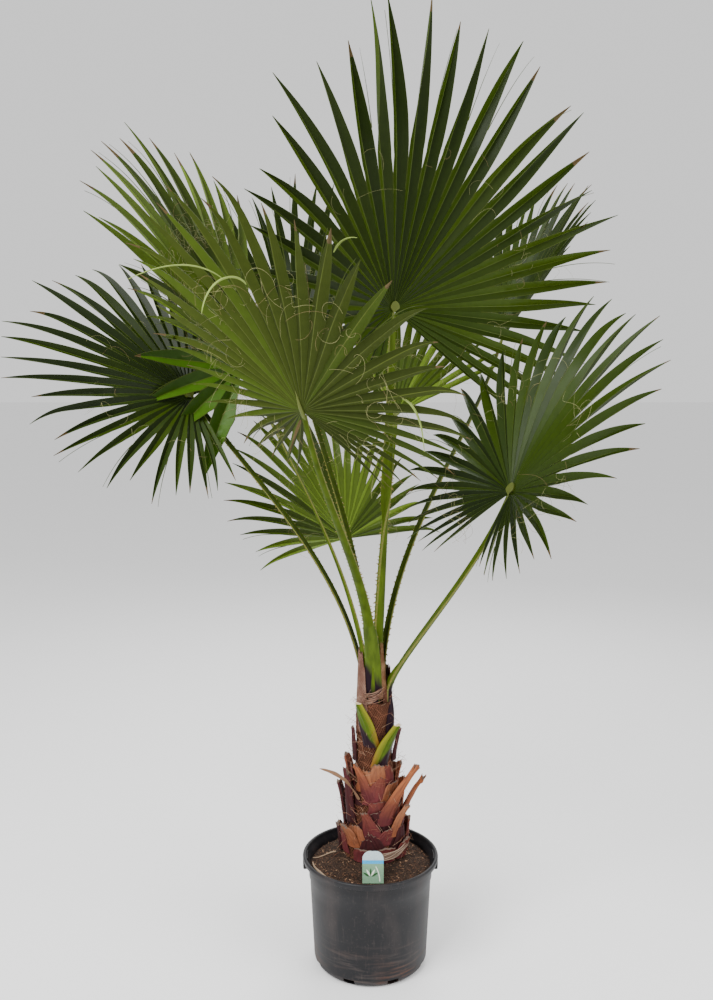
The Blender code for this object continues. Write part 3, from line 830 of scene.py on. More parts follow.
def soil_height(x, y):
    """The soil's top: banked up to the trunk's foot, with small heaps and a ridge at the front left."""
    radius = math.hypot(x, y)
    out = max(0.0, math.hypot(x - TRUNK_PLACE[0], y - TRUNK_PLACE[1]) - TRUNK_FOOT_RADIUS - SOIL_BANK)
    wall = max(0.0, wall_radius(SOIL_TOP) - WALL - radius)
    fall = SOIL_FALL * out / (out + wall + 0.0001)
    heap = sum(rise * grain((x, y, level), scale) for rise, level, scale in SOIL_HEAPS)
    heading = math.degrees(math.atan2(y, x)) % 360
    ridge = (RIDGE_RISE * math.exp(-((heading - RIDGE_HEADING) / 30) ** 4)
             * math.exp(-((radius - RIDGE_RADIUS) / 0.0045) ** 2))
    return SOIL_TOP - fall - 0.001 + heap + ridge


def earth(settings):
    """Damp potting soil."""
    finish = Finish("potting_soil", specular=0.2)
    clods = finish.noise(finish.place(), 70.0, 5.0)
    crumbs = finish.noise(finish.place(), 380.0, 3.0)
    colour = finish.mix(finish.spread(clods, 0.35, 0.70), shade(settings.earth[:], 0.55), settings.earth[:])
    colour = finish.mix(finish.spread(crumbs, 0.58, 0.70), colour, shade(settings.straw[:], 0.38))
    return finish.paint(colour, 0.95 - crumbs * 0.1, clods * 0.6 + crumbs * 0.4, 0.004, 1.0)


def plain(name, colour, roughness=0.85, depth=0.0006):
    """One colour with a little cloudy variation, for small pieces."""
    finish = Finish(name, specular=0.25)
    cloud = finish.noise(finish.place(), 320.0, 2.0)
    skin = finish.mix(cloud, shade(colour, 0.72), shade(colour, 1.22))
    return finish.paint(skin, roughness, cloud, depth, 0.6)


def chip(shape, chance):
    """One bark chip or fibre that lies on the soil."""
    radius = SOIL_REACH * math.sqrt(chance.random())
    turn = chance.uniform(0, math.tau)
    x, y = radius * math.cos(turn), radius * math.sin(turn)
    fibre = chance.random() < 0.5
    length = chance.uniform(0.006, 0.024) if fibre else chance.uniform(0.0018, 0.0065)
    width = chance.uniform(0.0004, 0.0009) if fibre else length * chance.uniform(0.3, 0.75)
    thick = width * chance.uniform(0.35, 0.8)
    place = (Matrix.Translation((x, y, soil_height(x, y) + thick * 0.45))
             @ Matrix.Rotation(chance.uniform(0, math.tau), 4, "Z")
             @ Matrix.Rotation(chance.uniform(-0.35, 0.35), 4, "Y")
             @ Matrix.Rotation(chance.uniform(-0.5, 0.5), 4, "X"))
    bow = chance.uniform(-0.16, 0.16) * length
    rings = []
    for station, wide in CHIP_STATIONS:
        middle = bow * (1 - 4 * station * station)
        rings.append([tuple(place @ Vector((station * length, middle + v * width * wide, w * thick * wide)))
                      for v, w in CHIP_SECTION])
    shape.rod(np.array(rings), chance.choice(CHIP_TONES))


class PALM_OT_soil(bpy.types.Operator):
    """Build the soil's rough surface, its bark chips and fibres, and the twig that lies on it"""

    bl_idname = "palm.soil"
    bl_label = "Soil"

    def execute(self, context):
        settings = context.scene.palm_soil
        wall = wall_radius(SOIL_TOP) - WALL - SOIL_GAP
        radii = np.concatenate((np.linspace(0.004, wall, SOIL_RINGS), [wall, FOOT_RADIUS - 0.008]))
        angles = np.linspace(0, math.tau, SOIL_SIDES, endpoint=False)
        points = np.zeros((len(radii), SOIL_SIDES, 3))
        for row, radius in enumerate(radii):
            for column, angle in enumerate(angles):
                x, y = radius * math.cos(angle), radius * math.sin(angle)
                points[row, column] = (x, y, soil_height(x, y))
        points[-2, :, 2] = SOIL_SIDE_TOP
        points[-1, :, 2] = WALL + CLEARANCE
        shape = Shape()
        shape.grid(points[::-1], wrap=True)
        shape.cap(points[0])
        shape.cap(points[-1], flip=True)
        soil = shape.piece("soil_surface", [earth(settings)], smooth=60)
        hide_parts("soil")
        self.litter(settings)
        self.twig()
        return {"FINISHED"}

    def litter(self, settings):
        """Bark chips and fibres, strewn evenly."""
        chance = random.Random(CHIP_SEED)
        tones = [plain(f"chip_{name}", colour) for name, colour in (
            ("dark", shade(settings.earth[:], 0.8)), ("brown", shade(settings.earth[:], 2.0)),
            ("bark", (0.110, 0.050, 0.027)), ("straw", settings.straw[:]))]
        chips = Shape()
        for _ in range(settings.chips):
            chip(chips, chance)
        chips.piece("soil_chips", tones, weld=0, smooth=None)

    def twig(self):
        """A short twig on the soil, and a dry fibre that lies bowed along the wall."""
        shape = Shape()
        shares = np.linspace(0, 1, 9)[:, None]
        line = np.array(TWIG_ENDS[0]) * (1 - shares) + np.array(TWIG_ENDS[1]) * shares
        line[:, 2] = [soil_height(x, y) + 0.004 + 0.0015 * math.sin(9 * x) for x, y, _ in line]
        shape.rod(tube(line, np.linspace(0.0011, 0.0020, 9), 6))
        bow = np.array([(BOW_RADIUS * math.cos(angle), BOW_RADIUS * math.sin(angle),
                         BOW_HEIGHT + 0.002 * math.sin(angle * 9))
                        for angle in np.radians(np.linspace(186, 252, 26))])
        shape.rod(tube(bow, 0.0034 * np.sin(np.pi * np.linspace(0.12, 0.9, 26)), 7))
        shape.piece("dry_twig", [plain("twig", (0.300, 0.215, 0.140))])


# The trunk and the old leaf bases


def trunk_radius(height):
    """The trunk under its leaf bases: a swollen foot that draws in to a slim neck."""
    share = min(1.0, (height - SOIL_TOP) / (TRUNK_TOP - SOIL_TOP))
    swell = (TRUNK_FOOT_RADIUS - TRUNK_NECK_RADIUS) * (1 - share) ** TRUNK_DRAW_IN
    return TRUNK_NECK_RADIUS + swell


def beside_trunk(radius, angle, height):
    """A point at a distance from the trunk's axis, with the angle in radians."""
    return (TRUNK_PLACE[0] + radius * math.cos(angle), TRUNK_PLACE[1] + radius * math.sin(angle), height)


def weave(turn, height):
    """How far the woven fibre stands out, from -1 to 1: threads that cross on two slants."""
    around = turn * SHEET_RADIUS
    wander = 0.004 * grain((around * 9, height * 9, 0.0), 3.0)
    rising = math.sin((around + height * RISING_SLANT + wander) * math.tau / RISING_PITCH)
    falling = math.sin((around - height * FALLING_SLANT + wander * 1.5) * math.tau / FALLING_PITCH)
    lumps = grain((around, height, 0.7), 55)
    return 0.45 * max(rising, falling) + 0.55 * lumps


def fibre_finish(name, colour, dark, scale=1.0):
    """Woven trunk fibre: crossing threads over darker gaps."""
    finish = Finish(name, specular=0.1)
    sheet = finish.sheet()
    u = finish.along(sheet, 0)
    v = finish.along(sheet, 1)
    wander = finish.noise(finish.place(), 60.0, 2.0) * 0.010
    threads = finish.wave((u + v * RISING_SLANT + wander) * (math.tau / (RISING_PITCH * scale)))
    others = finish.wave((u - v * FALLING_SLANT + wander) * (math.tau / (FALLING_PITCH * scale)))
    crossing = finish.node("ShaderNodeMath", {"operation": "MAXIMUM"}, {0: threads, 1: others})
    cloud = finish.noise(finish.place(), 34.0, 4.0)
    body = finish.mix(finish.spread(cloud, 0.35, 0.68), dark, colour)
    body = finish.mix(finish.spread(crossing, 0.45, 0.95) * 0.65, shade(dark, 0.5), body)
    return finish.paint(body, 0.92, crossing * 0.7 + cloud * 0.3, 0.0022, 0.9)


def husk_finish(name, foot, tip, dark):
    """A dry leaf base: deep at the foot, paler to the tip, streaked along its length."""
    finish = Finish(name, specular=0.15)
    v = finish.along(finish.sheet(), 1)
    streaks = finish.noise(finish.sheet((1.0, 0.10, 1.0)), 150.0, 4.0)
    cloud = finish.noise(finish.place(), 40.0, 4.0)
    share = finish.spread(v + cloud * 0.05 - 0.025, 0.015, 0.120)
    colour = finish.mix(share, foot, tip)
    colour = finish.mix(finish.spread(streaks, 0.48, 0.72) * 0.75, colour, dark)
    colour = finish.mix(finish.spread(cloud, 0.60, 0.78) * 0.55, colour, shade(dark, 0.6))
    return finish.paint(colour, 0.80 - streaks * 0.18, streaks * 0.75 + cloud * 0.25, 0.0022, 0.9)


def green_stub_finish():
    """A cut stalk that is still green: purple outside and at the foot, yellow along its inner edge."""
    finish = Finish("green_stub", specular=0.08)
    sheet = finish.sheet()
    u = finish.along(sheet, 0)
    v = finish.along(sheet, 1)
    cloud = finish.noise(finish.place(), 50.0, 3.0)
    green = finish.mix(cloud, (0.028, 0.055, 0.003), (0.070, 0.110, 0.007))
    yellow = finish.mix(finish.spread(v, 0.0, 0.06), (0.200, 0.070, 0.014), (0.170, 0.165, 0.012))
    colour = finish.mix(finish.spread(u, 0.006, 0.019), green, yellow)
    purple = finish.mix(cloud, (0.007, 0.003, 0.006), (0.022, 0.008, 0.013))
    shadow = finish.spread(cloud * 0.006 + 0.0105 - u - v * 0.34, -0.002, 0.005)
    streaks = finish.noise(finish.sheet((1.0, 0.08, 1.0)), 160.0, 3.0)
    return finish.paint(finish.mix(shadow, colour, purple), 0.46 - streaks * 0.1, streaks, 0.0007, 0.6)


def cut_face():
    """The pale pith where a stalk was cut."""
    finish = Finish("cut_pith", specular=0.2)
    pores = finish.noise(finish.place(), 520.0, 2.0)
    colour = finish.mix(finish.spread(pores, 0.42, 0.66), (0.400, 0.300, 0.150), (0.680, 0.620, 0.430))
    return finish.paint(colour, 0.9, pores, 0.0008, 0.8)


def leaf_base_rings(base, chance, stations=PLATE_STATIONS, frayed=True, mirror=1.0, keel=1.0, bulge=0.0):
    """Rings of points for a leaf base, finer than its solid: grooved, keeled, with a ragged tip.

    Also gives each point's place on the unrolled plate.
    """
    columns = np.linspace(-1, 1, PLATE_COLUMNS)
    phases = [chance.uniform(0, 6.28) for _ in range(4)]
    rings = []
    sheets = []
    for station in range(stations):
        share = station / (stations - 1)
        height = base.foot_height + base.length * share * (1 - 0.12 * share)
        inner = trunk_radius(base.foot_height) + BOOT_CLEARANCE + base.flare * share ** 1.4
        heading = math.radians(base.foot_heading + (base.tip_heading - base.foot_heading) * share)
        half = (base.foot_width + (base.tip_width - base.foot_width) * share) / 2
        half *= 1 + 0.05 * math.sin(9 * share + phases[0]) + bulge * math.sin(math.pi * share)
        depth = base.thickness * (1 - 0.25 * share)
        inside = []
        outside = []
        places = []
        for across in columns:
            angle = heading + half * across / inner
            ridge = 0.28 * max(0.0, 1 - abs(across - 0.25 * math.sin(phases[0])) * 2.2) * keel
            thick = depth * (1 - 0.55 * across ** 2 + ridge * share)
            groove = (0.0008 * math.sin(across * 15 + phases[1] + 2 * share)
                      + 0.0005 * math.sin(across * 31 + phases[2] - 3 * share))
            lump = 0.0012 * grain((across, share * 3, phases[3]), 2.3)
            drop = 0.0
            if frayed:
                tooth = math.sin(across * 6.5 + phases[1]) * math.cos(across * 3.1 + phases[2])
                drop = base.length * (0.07 * across ** 2 + 0.05 * tooth) * share ** 6
            outer = inner + thick + (groove + lump) * (1 - 0.5 * across ** 2)
            level = height - drop
            inside.append(beside_trunk(inner, angle, level))
            outside.append(beside_trunk(outer, angle, level - 0.2 * thick))
            places.append((base.foot_width / 2 * across * mirror, base.length * share))
        rings.append(inside[::-1] + outside)
        sheets.append(places[::-1] + places)
    return np.array(rings), np.array(sheets)


def back_boots():
    """The leaf bases behind, in rows that overlap like tiles and vary a little."""
    chance = random.Random(BOOT_SEED)
    bases = []
    for row in BACK_ROWS:
        for step in range(row.count):
            spread = (row.last_heading - row.first_heading) * step / (row.count - 1)
            heading = row.first_heading + spread + chance.uniform(-3, 3)
            tip_heading = heading + chance.uniform(-6, 6)
            length = row.length * chance.uniform(0.82, 1.12)
            flare = row.flare * chance.uniform(0.9, 1.15)
            bases.append(LeafBase(heading, tip_heading, row.foot_height, length, flare,
                                  row.foot_width, row.tip_width, BOOT_THICKNESS))
    return bases


def frond_foot(frond):
    """Where the stalk leaves the trunk's top."""
    heading = math.radians(frond.foot_heading)
    return np.array(beside_trunk(frond.foot_radius, heading, TRUNK_TOP + CLEARANCE))


class PALM_OT_trunk(bpy.types.Operator):
    """Build the trunk's woven fibre and the sheaths that wrap its neck"""

    bl_idname = "palm.trunk"
    bl_label = "Trunk"

    def execute(self, context):
        settings = context.scene.palm_trunk
        foot = SOIL_TOP + CLEARANCE
        points = np.zeros((TRUNK_LEVELS, TRUNK_SIDES, 3))
        sheet = np.zeros((TRUNK_LEVELS, TRUNK_SIDES, 2))
        for row in range(TRUNK_LEVELS):
            height = foot + (TRUNK_TOP - foot) * row / (TRUNK_LEVELS - 1)
            for column in range(TRUNK_SIDES):
                turn = math.tau * column / TRUNK_SIDES
                radius = trunk_radius(height) + settings.relief * (weave(turn, height) - 0.6)
                points[row, column] = beside_trunk(radius, turn, height)
                sheet[row, column] = (turn * SHEET_RADIUS, height)
        shape = Shape()
        shape.rod(points, sheet=sheet)
        dark = shade(settings.fibre[:], 0.32)
        trunk = shape.piece("trunk_fibre", [fibre_finish("trunk_fibre", settings.fibre[:], dark)], smooth=70)
        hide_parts("trunk")
        self.neck_sheaths(settings)
        return {"FINISHED"}

    def neck_sheaths(self, settings):
        """Thin wraps that rise past the trunk's top between the stalks."""
        tones = {
            "pink": ((0.410, 0.260, 0.185), (0.175, 0.082, 0.058)),
            "brown": (settings.fibre[:], shade(settings.fibre[:], 0.3)),
            "tan": ((0.520, 0.330, 0.180), (0.150, 0.058, 0.022)),
        }
        names = list(tones)
        finishes = [fibre_finish(f"sheath_{name}", *tones[name], scale=0.8) for name in names]
        chance = random.Random(WRAP_SEED)
        shape = Shape()
        for wrap in NECK_WRAPS:
            phase = chance.uniform(0, 6)
            outer = np.zeros((WRAP_ROWS, WRAP_COLUMNS, 3))
            inner = np.zeros((WRAP_ROWS, WRAP_COLUMNS, 3))
            sheet = np.zeros((WRAP_ROWS, WRAP_COLUMNS, 2))
            for row, share in enumerate(np.linspace(0, 1, WRAP_ROWS)):
                for column, across in enumerate(np.linspace(-1, 1, WRAP_COLUMNS)):
                    narrowing = 1 - 0.38 * share ** 1.5
                    turn = math.radians(wrap.heading + wrap.half_turn * across * narrowing)
                    jag = 0.04 * math.sin(across * 7 + phase) + 0.03 * math.sin(across * 17 + phase)
                    height = wrap.low + wrap.rise * share * (1 - 0.22 * across ** 2 + jag * share ** 3)
                    wrinkle = 0.0009 * grain((turn * 2, height * 24, phase), 2.0)
                    radius = wrap.radius + wrinkle - 0.006 * share ** 2
                    outer[row, column] = beside_trunk(radius, turn, height)
                    inner[row, column] = beside_trunk(radius - WRAP_THICKNESS, turn, height)
                    sheet[row, column] = (turn * SHEET_RADIUS, height)
            rings = np.concatenate((outer, inner[:, ::-1]), axis=1)
            both = np.concatenate((sheet, sheet[:, ::-1]), axis=1)
            shape.rod(rings, names.index(wrap.tone), sheet=both)
        sheaths = shape.piece("neck_sheaths", finishes, smooth=50)
        self.collar(chance)

    def collar(self, chance):
        """The pale fibres that curve round the neck below the front stalk's foot."""
        shape = Shape()
        shares = np.linspace(0, 1, 14)
        for number in range(COLLAR_FIBRES):
            start = math.radians(236 + chance.uniform(-8, 14))
            end = math.radians(300 + chance.uniform(-18, 8))
            low = COLLAR_HEIGHT + number * 0.0019
            rise = chance.uniform(0.010, 0.026)
            line = np.array([beside_trunk(COLLAR_RADIUS + 0.0008 * math.sin(number * 2.1 + share * 5),
                                          start + (end - start) * share, low + rise * share ** 2)
                             for share in shares])
            shape.rod(tube(line, 0.0009 * np.sin(np.pi * (0.15 + 0.7 * shares)), 5), number % 3)
        tones = [plain("collar_pale", (0.270, 0.160, 0.110)), plain("collar_tan", (0.170, 0.080, 0.050)),
                 plain("collar_dark", (0.085, 0.040, 0.028))]
        fibres = shape.piece("collar_fibres", tones, weld=0, smooth=60)


class PALM_OT_leaf_bases(bpy.types.Operator):
    """Build the dry leaf bases, the cut stalks and the dry strip"""

    bl_idname = "palm.leaf_bases"
    bl_label = "Leaf bases"

    def execute(self, context):
        settings = context.scene.palm_trunk
        foot, tip = settings.husk[:], settings.husk_tip[:]
        tones = {
            "orange": (foot, tip, (0.075, 0.020, 0.016)),
            "red": (shade(foot, 1.3), blend(foot, tip, 0.45), (0.075, 0.020, 0.020)),
            "tan": (blend(foot, tip, 0.7), (0.340, 0.150, 0.075), (0.110, 0.040, 0.026)),
            "dark": (shade(foot, 0.35), shade(foot, 0.8), (0.018, 0.008, 0.009)),
        }
        names = list(tones)
        finishes = [husk_finish(f"husk_{name}", *tones[name]) for name in names]
        finishes.append(plain("husk_cut", (0.120, 0.080, 0.060), 0.9, 0.0012))
        bases = [*FRONT_BOOTS, *back_boots()]
        for number, (base, husk) in enumerate(zip(bases, FRONT_HUSKS + BACK_HUSKS), start=1):
            shape = Shape()
            rings, sheet = leaf_base_rings(base, random.Random(number))
            shape.rod(rings, names.index(husk), tip_slot=len(names), sheet=sheet)
            boot = shape.piece(f"leaf_base_{number:02d}", finishes, smooth=50)
            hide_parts(f"boot_{number:02d}")
        self.layers(finishes, names)
        self.cut_stalks(finishes, names)
        self.dry_strip()
        self.frayed_fibres(settings)
        return {"FINISHED"}

    def layers(self, finishes, names):
        """The old layers between the leaf bases: thin plates that hug the trunk, and a grey strap."""
        chance = random.Random(LAYER_SEED)
        shape = Shape()
        for low, count in LAYER_ROWS:
            for number in range(count):
                heading = 360 * (number + chance.uniform(0.2, 0.8)) / count
                plate = LeafBase(heading, heading + chance.uniform(-22, 22), low + chance.uniform(0, 0.012),
                                 chance.uniform(0.050, 0.090), chance.uniform(0.001, 0.006),
                                 chance.uniform(0.050, 0.080), chance.uniform(0.022, 0.050),
                                 LAYER_THICKNESS)
                rings, sheet = leaf_base_rings(plate, chance, stations=LAYER_STATIONS, keel=0.0)
                tone = names.index(chance.choice(LAYER_TONES))
                shape.rod(rings, tone, tip_slot=len(names), sheet=sheet)
        layers = shape.piece("husk_layers", finishes, smooth=50)
        strap = Shape()
        shares = np.linspace(0, 1, 22)
        for number in range(STRAP_FIBRES):
            line = np.array([beside_trunk(STRAP_RADIUS + 0.0012 * math.sin(number * 1.7 + share * 6),
                                          math.radians(268 + 72 * share),
                                          STRAP_HEIGHT + 0.0017 * number + 0.020 * share ** 1.6
                                          + 0.0015 * math.sin(share * 9 + number * 0.6))
                             for share in shares])
            strap.rod(tube(line, 0.0013 * np.sin(np.pi * (0.12 + 0.80 * shares)), 5), number % 2)
        band = strap.piece("fibre_strap", [plain("strap_grey", (0.300, 0.220, 0.160)),
                                           plain("strap_brown", (0.150, 0.085, 0.060))], smooth=60)

    def cut_stalks(self, finishes, names):
        """The cut stalks higher up: two still green, two brown."""
        green = [green_stub_finish(), cut_face()]
        for number, (name, base) in enumerate(STUBS.items()):
            shape = Shape()
            still_green = name.startswith("green")
            mirror = 1.0 if name.endswith("left") else -1.0
            rings, sheet = leaf_base_rings(base, random.Random(STUB_SEED + number), frayed=False,
                                           mirror=mirror, bulge=0.30 if still_green else 0.0)
            if still_green:
                shape.rod(rings, 0, tip_slot=1, sheet=sheet)
                stub = shape.piece(f"{name}_stalk", green, smooth=45)
            else:
                shape.rod(rings, names.index("dark"), tip_slot=len(names), sheet=sheet)
                stub = shape.piece(f"{name}_stalk", finishes, smooth=50)
            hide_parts(name)

    def dry_strip(self):
        """The dry strip that climbs and curls out to a pointed tip."""
        outward = direction(STRIP_HEADING, 0)
        radius = trunk_radius(STRIP_FOOT_HEIGHT) + 0.0042
        start = np.array(beside_trunk(radius, math.radians(STRIP_HEADING), STRIP_FOOT_HEIGHT))
        end = np.array((*STRIP_TIP, STRIP_FOOT_HEIGHT + STRIP_RISE))
        first = start + outward * 0.030 + np.array((0.0, 0.0, 0.060))
        second = end + np.array((0.045, 0.005, -0.012))
        shares = np.linspace(0, 1, 40)
        line = np.array([bezier(start, first, second, end, share) for share in shares])
        ahead = unit(np.gradient(line, axis=0))
        flat = np.cross(outward, UP)
        across = unit(flat - ahead * (ahead @ flat)[:, None])
        out = np.cross(across, ahead)
        rings = []
        for index, share in enumerate(shares):
            narrowing = (1 - 0.30 * share) * (1 - share ** 9 * 0.9) * (1 + 0.10 * math.sin(share * 21))
            half = STRIP_HALF_WIDTH * narrowing
            roll = STRIP_ROLL * smooth_step(share / 0.55)
            side = across[index] * math.cos(roll) + out[index] * math.sin(roll)
            lift = out[index] * math.cos(roll) - across[index] * math.sin(roll)
            rings.append([line[index] + side * half * c
                          + lift * (0.0011 * (1 - c * c * 0.6) + 0.0016 * c * c) * deep
                          for c, deep in STRIP_SECTION])
        shape = Shape()
        shape.rod(np.array(rings))
        finish = husk_finish("dry_strip", (0.200, 0.110, 0.060), (0.230, 0.180, 0.140),
                             (0.080, 0.060, 0.050))
        strip = shape.piece("dry_sheath_strip", [finish], smooth=60)
        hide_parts("dry_strip")

    def frayed_fibres(self, settings):
        """Loose fibres that stick out between the leaf bases."""
        chance = random.Random(FIBRE_SEED)
        shape = Shape()
        for _ in range(LOOSE_FIBRES):
            height = chance.uniform(0.285, 0.72)
            turn = chance.uniform(0, math.tau)
            low = height < 0.56
            reach = trunk_radius(height) + (chance.uniform(0.002, 0.020) if low else 0.0)
            start = np.array(beside_trunk(reach, turn, height))
            slant = chance.uniform(-1.2, 1.2)
            length = chance.uniform(0.012, 0.045)
            way = unit(np.array((-math.sin(turn) * slant + math.cos(turn) * 0.35,
                                 math.cos(turn) * slant + math.sin(turn) * 0.35,
                                 chance.uniform(-0.5, 1.0))))
            sag = chance.uniform(-0.3, 0.5)
            shares = np.linspace(0, 1, 6)[:, None]
            line = start + way * length * shares - UP * length * sag * shares ** 2
            shape.rod(tube(line, np.linspace(0.0005, 0.00025, 6), 3), chance.choice((0, 0, 1)))
        tones = [plain("fibre_brown", settings.fibre[:]), plain("fibre_pale", (0.300, 0.190, 0.120))]
        fibres = shape.piece("loose_fibres", tones, weld=0, smooth=None)


# The fronds


def blade_axes(frond):
    """The blade's own axes: along its middle, to its right, and out of its upper side."""
    along = direction(frond.heading, frond.rise)
    level = unit(np.cross(along, UP))
    upper = np.cross(level, along)
    roll = math.radians(frond.roll)
    side = level * math.cos(roll) + upper * math.sin(roll)
    face = upper * math.cos(roll) - level * math.sin(roll)
    return along, side, face


class Blade:
    """The fan blade's rule: where a point of a leaflet is."""

    def __init__(self, frond):
        self.frond = frond
        self.along, self.side, self.face = blade_axes(frond)
        self.cup = math.radians(frond.cup)

    def length(self, angle):
        """How long the leaflet at an angle from the blade's middle is."""
        return self.frond.reach * (1 - self.frond.shrink * (abs(angle) / math.pi) ** 1.5)

    def directions(self, angle):
        """Out along the leaflet, across it, and out of its upper side."""
        outward = self.along * math.cos(angle) + self.side * math.sin(angle)
        sideways = self.side * math.cos(angle) - self.along * math.sin(angle)
        ray = outward * math.cos(self.cup) + self.face * math.sin(self.cup)
        normal = self.face * math.cos(self.cup) - outward * math.sin(self.cup)
        return ray, sideways, normal

    def middle(self, angle, share):
        """A point on the leaflet's middle line, a share of the way to its tip."""
        length = self.length(angle)
        ray = self.directions(angle)[0]
        bend = length * self.frond.arch * share ** 2 * max(0.0, math.cos(angle))
        sink = length * self.frond.droop * share ** 2.2
        return np.array(self.frond.heart) + ray * (length * share) - UP * sink - self.face * bend


LEAF_COLUMNS = (-1.0, -0.95, -0.5, -0.05, 0.05, 0.5, 0.95, 1.0)
UNITED_SHARES = (0.010, 0.045, 0.10, 0.17, 0.25, 0.32, 0.40, 0.43, 0.46, 0.49, 0.52)
FREE_ROWS = 16
PLEATED_ROWS = 6
SLIVER_ROWS = 12
NOWHERE = 2.0
BENT_TURN = 2.6
TAPER_POWER = 1.9
LEAST_TAPER = 0.02
PLEAT_GROWTH = 0.30
VEIN_PITCH = 0.0026
RIB_SLOT, EDGE_SLOT, TIP_SLOT, BENT_SLOT, LEAF_SLOTS = 6, 7, 8, 9, 10


class Habit(NamedTuple):
    """How one leaflet differs from the blade's rule; a share past its tip is nowhere on it."""

    tip: float
    splits: tuple
    sway: float
    curl: float
    droop: float
    twist: float
    bend: float
    slot: int
    brown: float
    sliver: int


def leaflet_habits(frond, look, bent, chance):
    """Each leaflet's own length, curl, colour and splits, dealt out in order."""
    step = math.radians(frond.left + frond.right) / frond.leaflets
    splits = []
    for number in range(frond.leaflets + 1):
        angle = step * number - math.radians(frond.left)
        split = SPLIT_SHARE + chance.uniform(-0.05, 0.03) + 0.03 * math.cos(angle)
        splits.append(min(MOST_SPLIT, max(LEAST_SPLIT, split)))
    habits = []
    for number in range(frond.leaflets):
        bend = chance.uniform(0.35, 0.70) if chance.random() < bent else NOWHERE
        brown = chance.uniform(0.93, 0.99) if chance.random() < look.brown else NOWHERE
        habits.append(Habit(chance.uniform(0.91, 1.04), tuple(splits[number:number + 2]),
                            chance.gauss(0, 0.018), abs(chance.gauss(0, look.curl * 5)),
                            abs(chance.gauss(0, 0.06)), chance.gauss(0, 0.40), bend,
                            chance.randrange(3), brown, chance.choice((-1, 0, 0, 0, 0, 1, 0))))
    return habits


def free_line(blade, angle, shares, habit):
    """The middle line of a leaflet past its splits: it sways, sinks, curls or bends over."""
    _, sideways, normal = blade.directions(angle)
    pull = -UP * 0.8 - normal * 0.35
    line = [blade.middle(angle, shares[0])]
    for before, share in zip(shares, shares[1:]):
        gone = (share - shares[0]) / (shares[-1] - shares[0])
        step = blade.middle(angle, share) - blade.middle(angle, before)
        size = np.linalg.norm(step)
        turn = habit.droop * gone ** 2 + habit.curl * max(0.0, gone - 0.6) / 0.4
        turn = turn + BENT_TURN * smooth_step((gone - habit.bend) / 0.35)
        aside = unit(pull - step * (pull @ step) / size ** 2)
        line.append(line[-1] + step * math.cos(turn) + aside * size * math.sin(turn))
    gone = np.linspace(0, 1, len(shares))[:, None]
    return np.array(line) + sideways * habit.sway * blade.length(angle) * gone ** 1.6


def leaflet_net(blade, angle, step, habit, fold):
    """The points of one leaflet from the heart to its tip, the slot of each face and its sheet."""
    half_step = step / 2
    length = blade.length(angle)
    free_shares = np.linspace(UNITED_SHARES[-1], habit.tip, FREE_ROWS + 1)
    shares = np.concatenate((UNITED_SHARES, free_shares[1:]))
    loose = free_line(blade, angle, free_shares, habit)
    ahead = unit(np.gradient(loose, axis=0))
    sideways = blade.directions(angle)[1]
    across_all = unit(sideways - ahead * (ahead @ sideways)[:, None])
    upper_all = np.cross(across_all, ahead)
    points = np.zeros((len(shares), len(LEAF_COLUMNS), 3))
    sheet = np.zeros((len(shares), len(LEAF_COLUMNS), 2))
    # The left slope of each leaflet takes the painted lit copy of its green, and the right slope takes the
    # painted shaded copy.
    left, right = 2 * habit.slot, 2 * habit.slot + 1
    slots = np.tile((EDGE_SLOT, left, left, RIB_SLOT, right, right, EDGE_SLOT), (len(shares) - 1, 1))
    for row, share in enumerate(shares):
        free = row - len(UNITED_SHARES) + 1
        for column, across in enumerate(LEAF_COLUMNS):
            split = habit.splits[0 if across < 0 else 1]
            gone = max(0.0, (share - split) / (habit.tip - split))
            taper = (1 - 0.08 * min(1.0, gone / 0.10)) * max(LEAST_TAPER, 1 - gone ** TAPER_POWER)
            width = length * min(share, split) * half_step * taper
            lift = width * (fold + PLEAT_GROWTH * min(1.0, gone / 0.3)) * (abs(across) - 0.5)
            sheet[row, column] = (width * across, length * share)
            if free <= 0:
                between = angle + half_step * across * (min(share, split) * taper / share)
                points[row, column] = blade.middle(between, share) + blade.directions(between)[2] * lift
            else:
                twist = habit.twist * free / FREE_ROWS
                aside = width * across * math.cos(twist) - lift * math.sin(twist)
                raised = lift * math.cos(twist) + width * across * math.sin(twist)
                points[row, column] = loose[free] + across_all[free] * aside + upper_all[free] * raised
        if 0 < row <= PLEATED_ROWS:
            slots[row - 1, [0, -1]] = (left, right)
        if free > 0:
            gone = free / FREE_ROWS
            if gone > habit.bend - 0.12:
                slots[row - 1, :] = BENT_SLOT
            if shares[row] > habit.brown * habit.tip:
                slots[row - 1, :] = TIP_SLOT
    return points, slots, sheet


def sliver_net(points, hand):
    """A thin strip that has torn from a leaflet's edge and stands off beside it."""
    edge = points[-SLIVER_ROWS:, 0 if hand < 0 else -1]
    inner = points[-SLIVER_ROWS:, 1 if hand < 0 else -2]
    outward = unit(edge[0] - points[-SLIVER_ROWS, 3] + np.array((0.0, 0.0, 0.0001)))
    far = np.linalg.norm(edge - edge[0], axis=1)[:, None]
    middle = edge + (edge[0] - inner[0]) * 0.2 + outward * far * 0.09 * (1 + far * 2) - UP * far ** 2 * 0.5
    half = np.linspace(0.0011, 0.0002, SLIVER_ROWS)[:, None]
    return np.stack((middle - outward * half, middle, middle + outward * half), axis=1)


def leaf_finish(name, colour, specular, roughness):
    """A leaflet's skin: fine veins along it over one green."""
    finish = Finish(name, specular=specular)
    mottle = finish.noise(finish.place(), 60.0, 3.0)
    veins = finish.wave(finish.along(finish.sheet(), 0) * (math.tau / VEIN_PITCH))
    skin = finish.mix(mottle, shade(colour, 0.82), shade(colour, 1.20))
    return finish.paint(skin, roughness, veins, 0.0002, 0.4)


